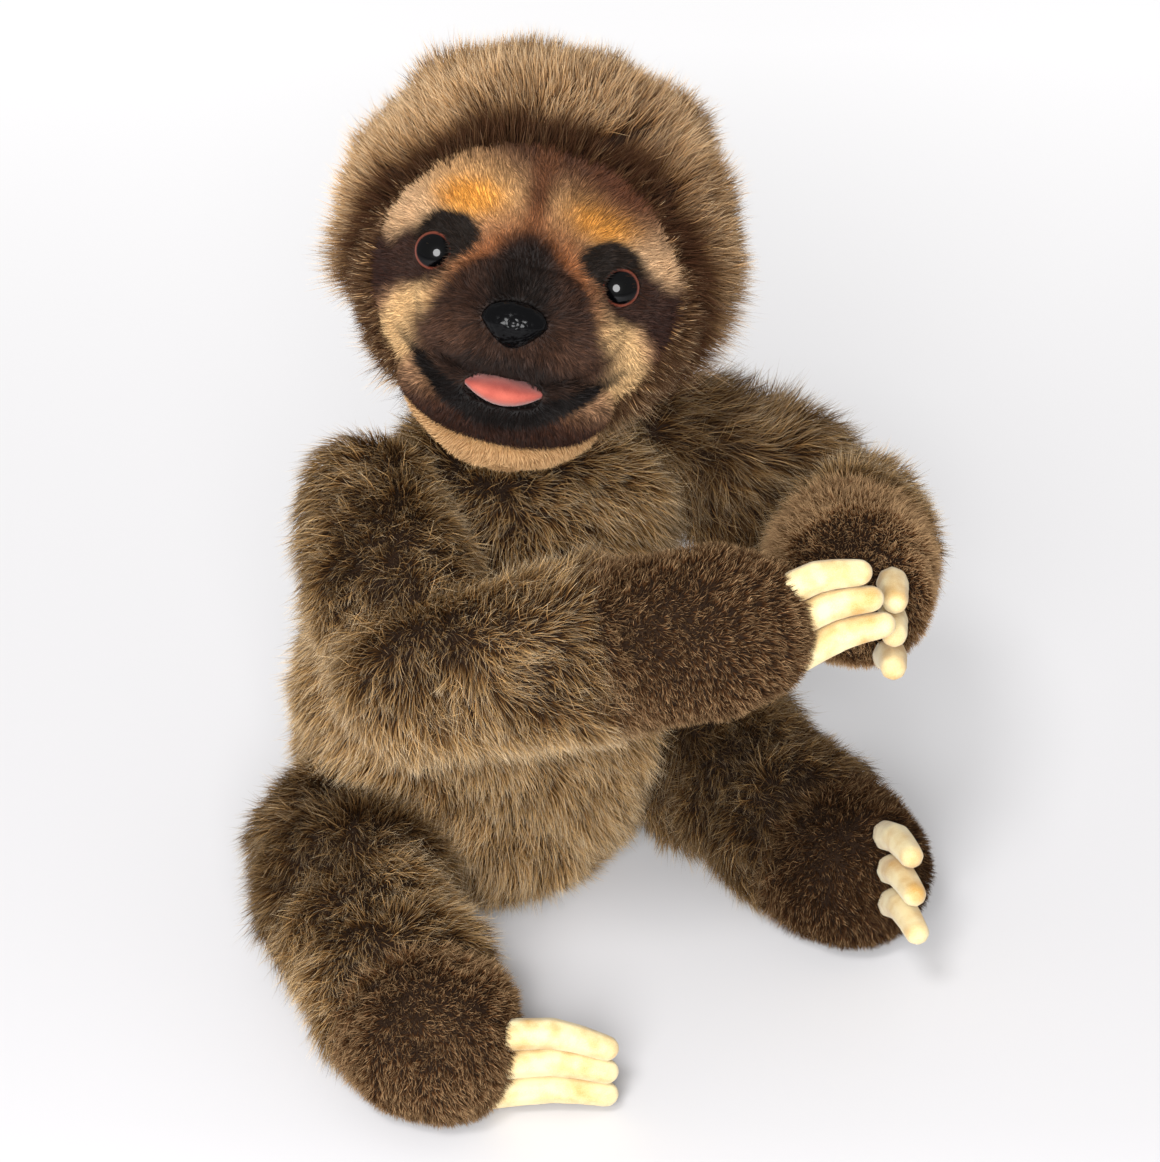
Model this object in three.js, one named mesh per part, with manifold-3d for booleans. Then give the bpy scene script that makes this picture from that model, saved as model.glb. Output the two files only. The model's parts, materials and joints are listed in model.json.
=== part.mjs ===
// A sitting plush sloth with bendable wire in its neck, arms and legs.
// Millimetres, +Z up. The sloth faces -Y and its own left side is +X.
// The origin is the middle of the seat, on the surface that the sloth sits on.
// Every stuffed form is the backing cloth: the pile stands on it and isn't part of the solid.
import * as THREE from 'three';
import { mergeVertices } from 'three/addons/utils/BufferGeometryUtils.js';
import Module from 'manifold-3d';

const wasm = await Module();
wasm.setup();

// Clearances: between sewn pieces and round a ball in its socket; then how much thinner than
// its ball a limb's tube starts, which leaves it room to bend.
const GAP = 0.3;
const PIVOT_GAP = 0.95;
const TUBE_INSET = 2.2;

// The torso, a pear that leans forward, with its half width and half depth at the fullest.
const TORSO_HEIGHT = 178;
const TORSO_HALF_WIDTH = 65;
const TORSO_HALF_DEPTH = 53;
const TORSO_LEAN = 24;
const SEAT_CUT = 6;
const FLOOR_FLAT = 0.5;

// Where the limbs and the neck turn on the torso: drops are from its top. The right shoulder is
// raised, and the left one lowered, from their mean height.
const SHOULDER_SPAN = 112;
const SHOULDER_DROP = 17;
const SHOULDER_RISE = 5;
const SHOULDER_FORWARD = 20;
const HIP_SPAN = 138;
const HIP_HEIGHT = 34;
const HIP_FORWARD = 13;
const NECK_DROP = 11;
const NECK_FORWARD = 21;
const NECK_SIDE = -4;
const NECK_LENGTH = 21;

// The stuffed balls on which they bend.
const SHOULDER_BALL = 20;
const ELBOW_BALL = 22;
const HIP_BALL = 27;
const KNEE_BALL = 27;
const NECK_BALL = 18;
const NECK_WAIST = 13;

// Arms and legs: from joint to joint, and half thicknesses of the stuffed tubes.
const UPPER_ARM_LENGTH = 75;
const UPPER_ARM_RADIUS = 25;
const FOREARM_LENGTH = 92;
const FOREARM_RADIUS = 24.5;
const HAND_RADIUS = 24.5;
const HAND_LENGTH = 74;
const HAND_FRONT = 25;
const THIGH_LENGTH = 47;
const THIGH_RADIUS = 31;
const SHIN_LENGTH = 48;
const SHIN_RADIUS = 28;
const FOOT_RADIUS = 26;
const FOOT_LENGTH = 52;
const FOOT_FRONT = 27;

// The head and the short-haired face on it.
const HEAD_WIDTH = 118;
const HEAD_DEPTH = 104;
const HEAD_HEIGHT = 108;
const FACE_WIDTH = 101;
const FACE_DEPTH = 74;
const FACE_HEIGHT = 94;
const FACE_FORWARD = 24;
const FACE_DROP = 8.5;
const MUZZLE_WIDTH = 64;
const MUZZLE_DEPTH = 50;
const MUZZLE_HEIGHT = 37;
const MUZZLE_FORWARD = 51;
const MUZZLE_DROP = 16;
const LIP_WIDTH = 66;
const LIP_DEPTH = 44;
const LIP_HEIGHT = 32;
const LIP_FORWARD = 43;
const LIP_DROP = 41;
const TONGUE_WIDTH = 28;
const TONGUE_DEPTH = 26;
const TONGUE_HEIGHT = 10;
const TONGUE_FORWARD = 55;
const TONGUE_DROP = 38;
const BIB_WIDTH = 60;
const BIB_DEPTH = 40;
const BIB_HEIGHT = 22;
const BIB_FORWARD = 34;
const BIB_DROP = 56;

// Eyes and nose, each a moulding with a stem that a washer holds from inside.
const EYE_DIAMETER = 12;
const EYE_THICKNESS = 8;
const EYE_SPACING = 57;
const EYE_DROP = 1.5;
const EYE_FORWARD = 52;
const EYE_SPLAY = 16;
const NOSE_WIDTH = 20;
const NOSE_THICKNESS = 9;
const NOSE_HEIGHT = 14;
const NOSE_FORWARD = 75;
const NOSE_DROP = 14;
const STEM_DIAMETER = 3.4;
const STEM_LENGTH = 16;
const WASHER_DIAMETER = 12;
const WASHER_THICKNESS = 1.8;
const WASHER_INSET = 4;

// The felt claws, three to a paw, one above the other.
const CLAW_COUNT = 3;
const HAND_CLAW_LENGTH = 32;
const FOOT_CLAW_LENGTH = 42;
const CLAW_RADIUS = 5.3;
const CLAW_GAP = 0.6;
const CLAW_SINK = 8;
const FOOT_CLAW_RISE = 5;
const FOOT_CLAW_DROP = 6.5;

// The steel wire inside, how far it stops short of a socket, how far its bore runs past,
// and how much thicker it is where wires are bound together.
const WIRE_DIAMETER = 3;
const WIRE_STOP = 0.6;
const BORE_OVERRUN = 12;
const WIRE_BINDING = 3;
const WIRE_FORK_DROP = 28;

// Sides and rings of the faceted round forms.
const BODY_SIDES = 24;
const BODY_STEPS = 6;
const LIMB_SIDES = 16;
const LIMB_STEPS = 4;
const CAP_STEPS = 4;
const OVAL_BAND_SHARE = 0.6;
const CLAW_SIDES = 8;
const WIRE_SIDES = 8;

// Shares of a claw's radius at its root, middle and tip, and of its length for its curve.
const CLAW_WIDTH_SHARES = [1, 0.96, 0.8];
const CLAW_CURVE_SHARE = 0.05;

// How far apart the claws of a row stand at root, middle and tip, as shares of their step: the
// rows draw together, apart from one that is fanned out.
const HAND_ROW_SHARES = [1, 0.98, 0.9];
const FOOT_ROW_SHARES = [1, 0.97, 0.82];
const FANNED_ROW_SHARES = [1, 1.02, 1.12];

// The pose, in degrees: each pair is outward from straight ahead, then above level.
const POSES = {
  right: {
    side: -1,
    upperArm: [20, -15],
    forearm: [-54, 11],
    forearmShare: 1,
    hand: [-56, 8],
    handClaws: [-60, 23],
    thigh: [17, -5],
    shin: 12,
    foot: [-41, 0],
    footClaws: [-55, 0],
    footClawDrop: FOOT_CLAW_DROP,
    footClawShares: FOOT_ROW_SHARES,
  },
  left: {
    side: 1,
    upperArm: [52, -26],
    forearm: [-40, 17],
    forearmShare: 0.9,
    hand: [-12, 2],
    handClaws: [-37, 26],
    thigh: [2, -5],
    shin: 2,
    foot: [-3, 14],
    footClaws: [-24, 26],
    footClawDrop: -FOOT_CLAW_RISE,
    footClawShares: FANNED_ROW_SHARES,
  },
};
const HEAD_TURN = -38;
const HEAD_NOD = -16;
const HEAD_TILT = 10;

// Shares of the torso's height, lean, half width and half depth, from the seat up.
const TORSO_SHARES = [
  [0.18, -0.1, 0.93, 0.96],
  [0.34, -0.08, 1, 1],
  [0.52, 0.16, 0.95, 0.94],
  [0.7, 0.5, 0.88, 0.85],
  [0.85, 0.84, 0.79, 0.74],
];

// Shares of the head's half height, half depth (backward), half width and half depth.
const HEAD_SHARES = [
  [-0.6, -0.14, 0.68, 0.72],
  [-0.28, -0.06, 0.94, 0.95],
  [0.06, 0, 1, 1],
  [0.38, 0.04, 0.91, 0.91],
  [0.6, 0.06, 0.75, 0.76],
];
const HEAD_CAP_SHARE = 0.4;

// Shares of a paw's radius at its wrist, middle and front, and for its round front.
const HAND_WIDTH_SHARES = [0.94, 1, 0.8];
const FOOT_WIDTH_SHARES = [0.94, 1, 0.9];
const PAW_CAP_SHARE = 0.5;

// Shares of the nose's half width at its foot, middle and top.
const NOSE_WIDTH_SHARES = [0.45, 0.9, 0.86];
const NOSE_DEPTH_SHARES = [0.8, 1, 0.8];
const NOSE_CAP_SHARE = 0.3;

const cloth = (color) => new THREE.MeshStandardMaterial({ color, roughness: 0.95, metalness: 0 });
const shiny = (color) => new THREE.MeshStandardMaterial({ color, roughness: 0.12, metalness: 0 });
const LONG_PILE = cloth('#85705a');
const SHORT_PILE = cloth('#4e3828');
const FACE_PLUSH = cloth('#d2a97a');
const MUZZLE_PLUSH = cloth('#38261e');
const BIB_PLUSH = cloth('#c8a67a');
const CLAW_FELT = cloth('#f0dfa8');
const TONGUE_FELT = cloth('#e58a7c');
const BLACK_PLASTIC = shiny('#0d0c0c');
const WASHER_PLASTIC = new THREE.MeshStandardMaterial({ color: '#e8e6df', roughness: 0.5 });
const WIRE_STEEL = new THREE.MeshStandardMaterial({ color: '#b0b3b6', roughness: 0.4, metalness: 1 });

const radians = THREE.MathUtils.degToRad;
const degrees = THREE.MathUtils.radToDeg;
const point = (x, y, z) => new THREE.Vector3(x, y, z);
const beyond = (from, direction, distance) => from.clone().addScaledVector(direction, distance);
const halfway = (from, to) => from.clone().add(to).divideScalar(2);
const UP = point(0, 0, 1);
const LEFTWARD = point(1, 0, 0);

// A direction by its angle outward from straight ahead, on one side, and its rise above level.
function heading(side, outward, rise) {
  const level = Math.cos(radians(rise));
  const turn = radians(outward);
  return point(side * Math.sin(turn) * level, -Math.cos(turn) * level, Math.sin(radians(rise)));
}

// A closed geometry as a solid that can be cut.
function solid(geometry) {
  geometry.deleteAttribute('normal');
  geometry.deleteAttribute('uv');
  const merged = mergeVertices(geometry);
  const vertProperties = new Float32Array(merged.attributes.position.array);
  const triVerts = new Uint32Array(merged.index.array);
  return new wasm.Manifold(new wasm.Mesh({ numProp: 3, vertProperties, triVerts }));
}

// A cut solid as a geometry with flat faces.
function geometryOf(body) {
  const mesh = body.getMesh();
  const geometry = new THREE.BufferGeometry();
  geometry.setAttribute('position', new THREE.BufferAttribute(mesh.vertProperties, 3));
  geometry.setIndex(new THREE.BufferAttribute(mesh.triVerts, 1));
  const faceted = geometry.toNonIndexed();
  faceted.computeVertexNormals();
  return faceted;
}

// A value between the listed ones, on a smooth curve through them.
function smoothValue(values, share) {
  const curve = new THREE.SplineCurve(values.map((value, i) => new THREE.Vector2(i, value)));
  return curve.getPoint(share).y;
}

// The rings of a stuffed form: ovals square to its spine, drawn in towards each round cap.
function stuffedRings({ spine, widths, depths = widths, steps = LIMB_STEPS, caps, across, grow = 0 }) {
  const curve = new THREE.CatmullRomCurve3(spine);
  const rings = [];
  const addRing = (share, capAngle, cap) => {
    const tangent = curve.getTangent(share);
    const x = beyond(across, tangent, -across.dot(tangent)).normalize();
    const y = tangent.clone().cross(x);
    const drawnIn = Math.cos(capAngle);
    rings.push({
      centre: beyond(curve.getPoint(share), tangent, (cap + grow) * Math.sin(capAngle)),
      x: x.multiplyScalar((smoothValue(widths, share) + grow) * drawnIn),
      y: y.multiplyScalar((smoothValue(depths, share) + grow) * drawnIn),
    });
  };
  const [startCap, endCap] = caps;
  const capAngle = (i) => (Math.PI * i) / (2 * CAP_STEPS);
  for (let i = CAP_STEPS; startCap && i > 0; i--) addRing(0, -capAngle(i), startCap);
  for (let i = 0; i <= steps; i++) addRing(i / steps, 0, 0);
  for (let i = 1; endCap && i <= CAP_STEPS; i++) addRing(1, capAngle(i), endCap);
  return rings;
}

// A stuffed form: its rings joined by quads, each end closed by a fan.
function stuffed(form) {
  const { sides = LIMB_SIDES, caps } = form;
  const rings = stuffedRings(form);
  const tips = [rings[0].centre, rings[rings.length - 1].centre];
  const bands = rings.slice(caps[0] ? 1 : 0, caps[1] ? -1 : undefined);
  const positions = [];
  for (const { centre, x, y } of bands) {
    for (let k = 0; k < sides; k++) {
      const turn = (2 * Math.PI * k) / sides;
      positions.push(...beyond(beyond(centre, x, Math.cos(turn)), y, Math.sin(turn)));
    }
  }
  positions.push(...tips[0], ...tips[1]);
  const start = bands.length * sides;
  const last = start - sides;
  const index = [];
  for (let k = 0; k < sides; k++) {
    const next = (k + 1) % sides;
    index.push(start, next, k, start + 1, last + k, last + next);
    for (let r = 0; r < last; r += sides) {
      index.push(r + k, r + next, r + sides + next, r + k, r + sides + next, r + sides + k);
    }
  }
  const geometry = new THREE.BufferGeometry();
  geometry.setAttribute('position', new THREE.Float32BufferAttribute(positions, 3));
  geometry.setIndex(index);
  return solid(geometry);
}

// An oval swelling of full width, depth and height about a centre, grown all round.
function oval(centre, width, depth, height, grow = 0, sides = LIMB_SIDES) {
  const sphere = new THREE.SphereGeometry(1, sides, Math.round(sides * OVAL_BAND_SHARE));
  sphere.rotateX(Math.PI / 2);
  sphere.scale(width / 2 + grow, depth / 2 + grow, height / 2 + grow);
  sphere.translate(...centre);
  return solid(sphere);
}

const ball = (centre, radius) => oval(centre, 2 * radius, 2 * radius, 2 * radius);

// A round bar between two points.
function bar(from, to, radius, sides = WIRE_SIDES) {
  const cylinder = new THREE.CylinderGeometry(radius, radius, from.distanceTo(to), sides);
  const direction = to.clone().sub(from).normalize();
  cylinder.applyQuaternion(new THREE.Quaternion().setFromUnitVectors(point(0, 1, 0), direction));
  cylinder.translate(...halfway(from, to));
  return solid(cylinder);
}

// Everything under the surface that the sloth sits on.
function underFloor() {
  const reach = 4 * TORSO_HEIGHT;
  const box = new THREE.BoxGeometry(reach, reach, reach);
  box.translate(0, 0, -reach / 2);
  return solid(box);
}

const sloth = new THREE.Group();

// A group that turns about a pivot given in its parent's own frame.
function pivotGroup(parent, pivot) {
  const group = new THREE.Group();
  group.position.copy(pivot).sub(parent.userData.pivot ?? point(0, 0, 0));
  group.userData.pivot = pivot;
  parent.add(group);
  return group;
}

// A mesh of a solid that was made in the frame of its group's pivot, without the crumbs of its cuts.
function place(group, name, body, material) {
  const [piece] = body.decompose().sort((a, b) => b.volume() - a.volume());
  const mesh = new THREE.Mesh(geometryOf(piece), material);
  mesh.name = name;
  mesh.position.copy(group.userData.pivot).negate();
  group.add(mesh);
}

const bodyGroup = pivotGroup(sloth, point(0, 0, 0));
const floor = underFloor();
const wireRadius = WIRE_DIAMETER / 2;

// The torso's backing cloth.
function torsoForm(grow) {
  const [lowest, highest] = [TORSO_SHARES[0], TORSO_SHARES[TORSO_SHARES.length - 1]];
  return stuffed({
    spine: TORSO_SHARES.map(([up, lean]) => point(0, -lean * TORSO_LEAN, up * TORSO_HEIGHT)),
    widths: TORSO_SHARES.map((row) => row[2] * TORSO_HALF_WIDTH),
    depths: TORSO_SHARES.map((row) => row[3] * TORSO_HALF_DEPTH),
    caps: [lowest[0] * TORSO_HEIGHT + SEAT_CUT, (1 - highest[0]) * TORSO_HEIGHT],
    sides: BODY_SIDES,
    steps: BODY_STEPS,
    across: LEFTWARD,
    grow,
  });
}

const torsoRoom = torsoForm(GAP);
const torsoCuts = [floor];

// The direction level with the floor and square to a limb.
const sideways = (direction) => direction.clone().cross(UP).normalize();

// A straight stuffed tube with a round start at one joint and a flat end at the next.
function tubeForm(from, to, startRadius, fullRadius, endRadius, grow) {
  return stuffed({
    spine: [from, halfway(from, to), to],
    widths: [startRadius, fullRadius, endRadius],
    caps: [startRadius, 0],
    across: sideways(to.clone().sub(from)),
    grow,
  });
}

// A ball at a joint, with its rings square to the limb that it starts.
function jointBall(centre, direction, radius) {
  const sphere = new THREE.SphereGeometry(radius, LIMB_SIDES, 2 * CAP_STEPS);
  const x = sideways(direction);
  const stance = new THREE.Matrix4().makeBasis(x, direction, x.clone().cross(direction));
  sphere.applyMatrix4(stance.setPosition(centre));
  return solid(sphere);
}

// A paw: it carries on from the limb and swells to a round front along its own heading.
function pawForm({ tip, limbWay, pawWay, radius, front, length, shares }, grow) {
  const cap = radius * PAW_CAP_SHARE;
  return stuffed({
    spine: [beyond(tip, limbWay, front - length), tip, beyond(tip, pawWay, front - cap)],
    widths: shares.map((share) => share * radius),
    caps: [0, cap],
    across: sideways(pawWay),
    grow,
  });
}

// A claw: a felt finger that curves down, tapers, and leans with its row.
function clawForm(root, lift, { way, up, length, shares }) {
  const bend = length * CLAW_CURVE_SHARE;
  const tipRadius = CLAW_RADIUS * CLAW_WIDTH_SHARES[2];
  const stations = [
    [0, 0],
    [length / 2, bend],
    [length - tipRadius, -bend],
  ];
  return stuffed({
    spine: stations.map(([along, rise], i) =>
      beyond(beyond(root, way, along), up, rise + lift * shares[i])),
    widths: CLAW_WIDTH_SHARES.map((share) => share * CLAW_RADIUS),
    caps: [0, tipRadius],
    sides: CLAW_SIDES,
    across: way.clone().cross(up).normalize(),
  });
}

// The claws of a paw in an upright row at its front, each cut by the paw that it is sewn to.
function addClaws(group, name, front, { way, length, drop, shares }, paw) {
  const step = 2 * CLAW_RADIUS + CLAW_GAP;
  const up = sideways(way).cross(way).normalize();
  const root = beyond(beyond(front, up, -drop), way, -CLAW_SINK);
  for (let i = 0; i < CLAW_COUNT; i++) {
    const lift = (i - (CLAW_COUNT - 1) / 2) * step;
    const claw = clawForm(root, lift, { way, up, length, shares });
    place(group, `${name}_${i + 1}`, claw.subtract(paw), CLAW_FELT);
  }
}

// A wire along a limb, from the ball of its own joint to the next socket or into the paw.
function limbWire(joint, direction, length) {
  const start = beyond(joint, direction, wireRadius);
  const end = beyond(joint, direction, length);
  return {
    wire: bar(beyond(start, direction, GAP), end, wireRadius),
    bore: bar(start, beyond(end, direction, WIRE_STOP), wireRadius + GAP),
    through: bar(start, beyond(joint, direction, length + BORE_OVERRUN), wireRadius + GAP),
  };
}

// A limb's two stuffed tubes, its paw and its claws, in groups that turn at its two joints.
function addLimb({ names, joint, bend, tip, radii, balls, paw, claws }) {
  const upperWay = bend.clone().sub(joint).normalize();
  const limbWay = tip.clone().sub(bend).normalize();
  const [upperRadius, lowerRadius] = radii;
  const [jointRadius, bendRadius] = balls;
  const wrist = limbWay.dot(tip) + paw.front - paw.length + paw.radius / 2;
  const pawShape = { ...paw, tip, limbWay };
  const pawRoom = pawForm(pawShape, GAP);
  const [startRadius, endRadius] = balls.map((radius) => radius - TUBE_INSET);
  const upperTube = (grow) => tubeForm(joint, bend, startRadius, upperRadius, endRadius, grow);
  const lowerTube = tubeForm(bend, tip, endRadius, lowerRadius, paw.radius, 0);
  const upper = limbWire(joint, upperWay, joint.distanceTo(bend) - bendRadius - PIVOT_GAP - WIRE_STOP);
  const lower = limbWire(bend, limbWay, bend.distanceTo(tip));

  torsoCuts.push(jointBall(joint, upperWay, jointRadius + PIVOT_GAP));
  const upperBody = upperTube(0)
    .subtract(torsoRoom)
    .add(jointBall(joint, upperWay, jointRadius))
    .subtract(jointBall(bend, limbWay, bendRadius + PIVOT_GAP))
    .subtract(upper.through)
    .subtract(lower.bore)
    .subtract(floor);
  const lowerBody = lowerTube
    .subtract(upperTube(GAP))
    .add(jointBall(bend, limbWay, bendRadius))
    .trimByPlane(limbWay.clone().negate().toArray(), -wrist)
    .subtract(lower.bore)
    .subtract(floor);
  const pawBody = pawForm(pawShape, 0)
    .trimByPlane(limbWay.toArray(), wrist + GAP)
    .subtract(lower.bore)
    .subtract(floor);

  const upperGroup = pivotGroup(bodyGroup, joint);
  place(upperGroup, names.upper, upperBody, LONG_PILE);
  place(upperGroup, names.upperWire, upper.wire, WIRE_STEEL);
  const lowerGroup = pivotGroup(upperGroup, bend);
  place(lowerGroup, names.lower, lowerBody, LONG_PILE);
  place(lowerGroup, names.paw, pawBody, SHORT_PILE);
  place(lowerGroup, names.lowerWire, lower.wire, WIRE_STEEL);
  addClaws(lowerGroup, names.claw, beyond(tip, paw.pawWay, paw.front), claws, pawRoom);
}

function addArm(name, pose) {
  const { side } = pose;
  const height = TORSO_HEIGHT - SHOULDER_DROP - side * SHOULDER_RISE;
  const shoulder = point((side * SHOULDER_SPAN) / 2, -SHOULDER_FORWARD, height);
  const elbow = beyond(shoulder, heading(side, ...pose.upperArm), UPPER_ARM_LENGTH);
  const reach = FOREARM_LENGTH * pose.forearmShare;
  addLimb({
    names: {
      upper: `upper_arm_${name}`,
      upperWire: `upper_arm_wire_${name}`,
      lower: `forearm_${name}`,
      lowerWire: `forearm_wire_${name}`,
      paw: `hand_${name}`,
      claw: `hand_claw_${name}`,
    },
    joint: shoulder,
    bend: elbow,
    tip: beyond(elbow, heading(side, ...pose.forearm), reach),
    radii: [UPPER_ARM_RADIUS, FOREARM_RADIUS],
    balls: [SHOULDER_BALL, ELBOW_BALL],
    paw: {
      pawWay: heading(side, ...pose.hand),
      radius: HAND_RADIUS,
      front: HAND_FRONT,
      length: HAND_LENGTH,
      shares: HAND_WIDTH_SHARES,
    },
    claws: {
      way: heading(side, ...pose.handClaws),
      length: HAND_CLAW_LENGTH,
      drop: 0,
      shares: HAND_ROW_SHARES,
    },
  });
  return shoulder;
}

function addLeg(name, pose) {
  const { side } = pose;
  const hip = point((side * HIP_SPAN) / 2, -HIP_FORWARD, HIP_HEIGHT);
  const knee = beyond(hip, heading(side, ...pose.thigh), THIGH_LENGTH);
  const fall = degrees(Math.asin((FOOT_RADIUS - FLOOR_FLAT - knee.z) / SHIN_LENGTH));
  addLimb({
    names: {
      upper: `thigh_${name}`,
      upperWire: `thigh_wire_${name}`,
      lower: `shin_${name}`,
      lowerWire: `shin_wire_${name}`,
      paw: `foot_${name}`,
      claw: `foot_claw_${name}`,
    },
    joint: hip,
    bend: knee,
    tip: beyond(knee, heading(side, pose.shin, fall), SHIN_LENGTH),
    radii: [THIGH_RADIUS, SHIN_RADIUS],
    balls: [HIP_BALL, KNEE_BALL],
    paw: {
      pawWay: heading(side, ...pose.foot),
      radius: FOOT_RADIUS,
      front: FOOT_FRONT,
      length: FOOT_LENGTH,
      shares: FOOT_WIDTH_SHARES,
    },
    claws: {
      way: heading(side, ...pose.footClaws),
      length: FOOT_CLAW_LENGTH,
      drop: pose.footClawDrop,
      shares: pose.footClawShares,
    },
  });
  return hip;
}

const roots = Object.entries(POSES).map(([name, pose]) => [addArm(name, pose), addLeg(name, pose)]);

// The neck: two stuffed balls joined by a waist, one in the torso and one in the head.
const neckBase = point(NECK_SIDE, -NECK_FORWARD, TORSO_HEIGHT - NECK_DROP);
const neckTop = beyond(neckBase, UP, NECK_LENGTH);

function neckForm(grow) {
  const radius = NECK_BALL + grow;
  const waist = bar(neckBase, neckTop, NECK_WAIST + grow, LIMB_SIDES);
  return ball(neckBase, radius).add(ball(neckTop, radius)).add(waist);
}

// A wire or its bore up the middle of the neck, stopping short of both ball ends by a distance.
function neckBar(radius, stop) {
  const reach = NECK_BALL - stop;
  return bar(beyond(neckBase, UP, -reach), beyond(neckTop, UP, reach), radius);
}

const neckGroup = pivotGroup(bodyGroup, neckBase);
torsoCuts.push(neckForm(PIVOT_GAP));
const neckBody = neckForm(0).subtract(neckBar(wireRadius + GAP, -WIRE_STOP));
place(neckGroup, 'neck', neckBody, LONG_PILE);
place(neckGroup, 'neck_wire', neckBar(wireRadius, WIRE_STOP), WIRE_STEEL);

// The wire frame in the torso: a spine that forks to the shoulders, over a crosspiece at the hips.
// Each end stops short of its ball's socket, or runs past it where the frame's room is cut.
function bodyWire(radius, past) {
  const fork = beyond(neckBase, UP, -WIRE_FORK_DROP);
  const [shoulders, hips] = [0, 1].map((i) => roots.map((limbRoots) => limbRoots[i]));
  const low = halfway(...hips);
  const arm = (from, to, ballRadius) => {
    const way = to.clone().sub(from).normalize();
    return bar(from, beyond(to, way, past - ballRadius - PIVOT_GAP - WIRE_STOP), radius);
  };
  return [
    ...shoulders.map((shoulder) => arm(fork, shoulder, SHOULDER_BALL)),
    ...hips.map((hip) => arm(low, hip, HIP_BALL)),
    bar(low, fork, radius),
    ball(fork, radius + WIRE_BINDING),
    ball(low, radius + WIRE_BINDING),
  ].reduce((whole, next) => whole.add(next));
}

const torsoWireRoom = bodyWire(wireRadius + GAP, BORE_OVERRUN);
const torsoBody = [...torsoCuts, torsoWireRoom].reduce((body, cut) => body.subtract(cut), torsoForm(0));
place(bodyGroup, 'torso', torsoBody, LONG_PILE);
place(bodyGroup, 'body_wire', bodyWire(wireRadius, 0), WIRE_STEEL);

// The head, in its own frame about its middle: x to its left, y backward, z up.
const halfHead = HEAD_HEIGHT / 2;
const headPivot = point(0, 0, -halfHead);
const headGroup = pivotGroup(neckGroup, neckTop);
headGroup.userData.pivot = headPivot;
headGroup.rotation.set(radians(HEAD_NOD), radians(HEAD_TILT), radians(HEAD_TURN), 'ZXY');

function headForm(grow) {
  return stuffed({
    spine: HEAD_SHARES.map(([up, back]) => point(0, (back * HEAD_DEPTH) / 2, up * halfHead)),
    widths: HEAD_SHARES.map((row) => (row[2] * HEAD_WIDTH) / 2),
    depths: HEAD_SHARES.map((row) => (row[3] * HEAD_DEPTH) / 2),
    caps: [halfHead * HEAD_CAP_SHARE, halfHead * HEAD_CAP_SHARE],
    sides: BODY_SIDES,
    steps: BODY_STEPS,
    across: LEFTWARD,
    grow,
  });
}

// The swellings of the face, from the mask outward.
const inFace = (forward, drop) => point(0, -forward, -drop);
const faceForms = {
  head: headForm,
  mask: (grow) => oval(inFace(FACE_FORWARD, FACE_DROP), FACE_WIDTH, FACE_DEPTH, FACE_HEIGHT, grow, BODY_SIDES),
  muzzle: (grow) => oval(inFace(MUZZLE_FORWARD, MUZZLE_DROP), MUZZLE_WIDTH, MUZZLE_DEPTH, MUZZLE_HEIGHT, grow),
  tongue: (grow) => oval(inFace(TONGUE_FORWARD, TONGUE_DROP), TONGUE_WIDTH, TONGUE_DEPTH, TONGUE_HEIGHT, grow),
  lip: (grow) => oval(inFace(LIP_FORWARD, LIP_DROP), LIP_WIDTH, LIP_DEPTH, LIP_HEIGHT, grow),
  bib: (grow) => oval(inFace(BIB_FORWARD, BIB_DROP), BIB_WIDTH, BIB_DEPTH, BIB_HEIGHT, grow),
};

// A moulding with its stem, and the washer that holds it behind the cloth.
function stemmed(front, facing, moulding) {
  const back = facing.clone().negate();
  const stemEnd = beyond(front, back, STEM_LENGTH);
  const washerAt = beyond(stemEnd, facing, WASHER_INSET);
  const washerEnd = beyond(washerAt, facing, WASHER_THICKNESS);
  const stemRadius = STEM_DIAMETER / 2;
  const washerRadius = WASHER_DIAMETER / 2;
  const stemRoom = bar(front, beyond(stemEnd, back, GAP), stemRadius + GAP);
  const pocketEnds = [beyond(washerAt, back, GAP), beyond(washerEnd, facing, GAP)];
  return {
    moulding: moulding(0).add(bar(front, stemEnd, stemRadius)),
    washer: bar(washerAt, washerEnd, washerRadius, LIMB_SIDES).subtract(stemRoom),
    room: moulding(GAP).add(stemRoom).add(bar(...pocketEnds, washerRadius + GAP, LIMB_SIDES)),
  };
}

function eyeParts(side) {
  const at = point((side * EYE_SPACING) / 2, -EYE_FORWARD, -EYE_DROP);
  const facing = heading(side, EYE_SPLAY, 0);
  const moulding = (grow) => {
    const dome = new THREE.SphereGeometry(1, LIMB_SIDES, LIMB_SIDES / 2);
    const radius = EYE_DIAMETER / 2 + grow;
    dome.scale(radius, EYE_THICKNESS / 2 + grow, radius);
    dome.applyQuaternion(new THREE.Quaternion().setFromUnitVectors(point(0, 1, 0), facing));
    dome.translate(...at);
    return solid(dome);
  };
  return stemmed(at, facing, moulding);
}

function noseParts() {
  const at = inFace(NOSE_FORWARD, NOSE_DROP);
  const cap = NOSE_HEIGHT * NOSE_CAP_SHARE;
  const half = NOSE_HEIGHT / 2 - cap;
  const moulding = (grow) =>
    stuffed({
      spine: [-half, 0, half].map((lift) => beyond(at, UP, lift)),
      widths: NOSE_WIDTH_SHARES.map((share) => (share * NOSE_WIDTH) / 2),
      depths: NOSE_DEPTH_SHARES.map((share) => (share * NOSE_THICKNESS) / 2),
      caps: [cap, cap],
      across: LEFTWARD,
      grow,
    });
  return stemmed(at, point(0, -1, 0), moulding);
}

const eyes = { right: eyeParts(-1), left: eyeParts(1) };
const nose = noseParts();
const stems = [eyes.right, eyes.left, nose];

// A face piece is cut by those inside it and by the room that eyes and nose take.
function faceBody(name, inner) {
  const cuts = [...inner.map((other) => faceForms[other](GAP)), ...stems.map(({ room }) => room)];
  return cuts.reduce((body, cut) => body.subtract(cut), faceForms[name](0));
}

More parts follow.
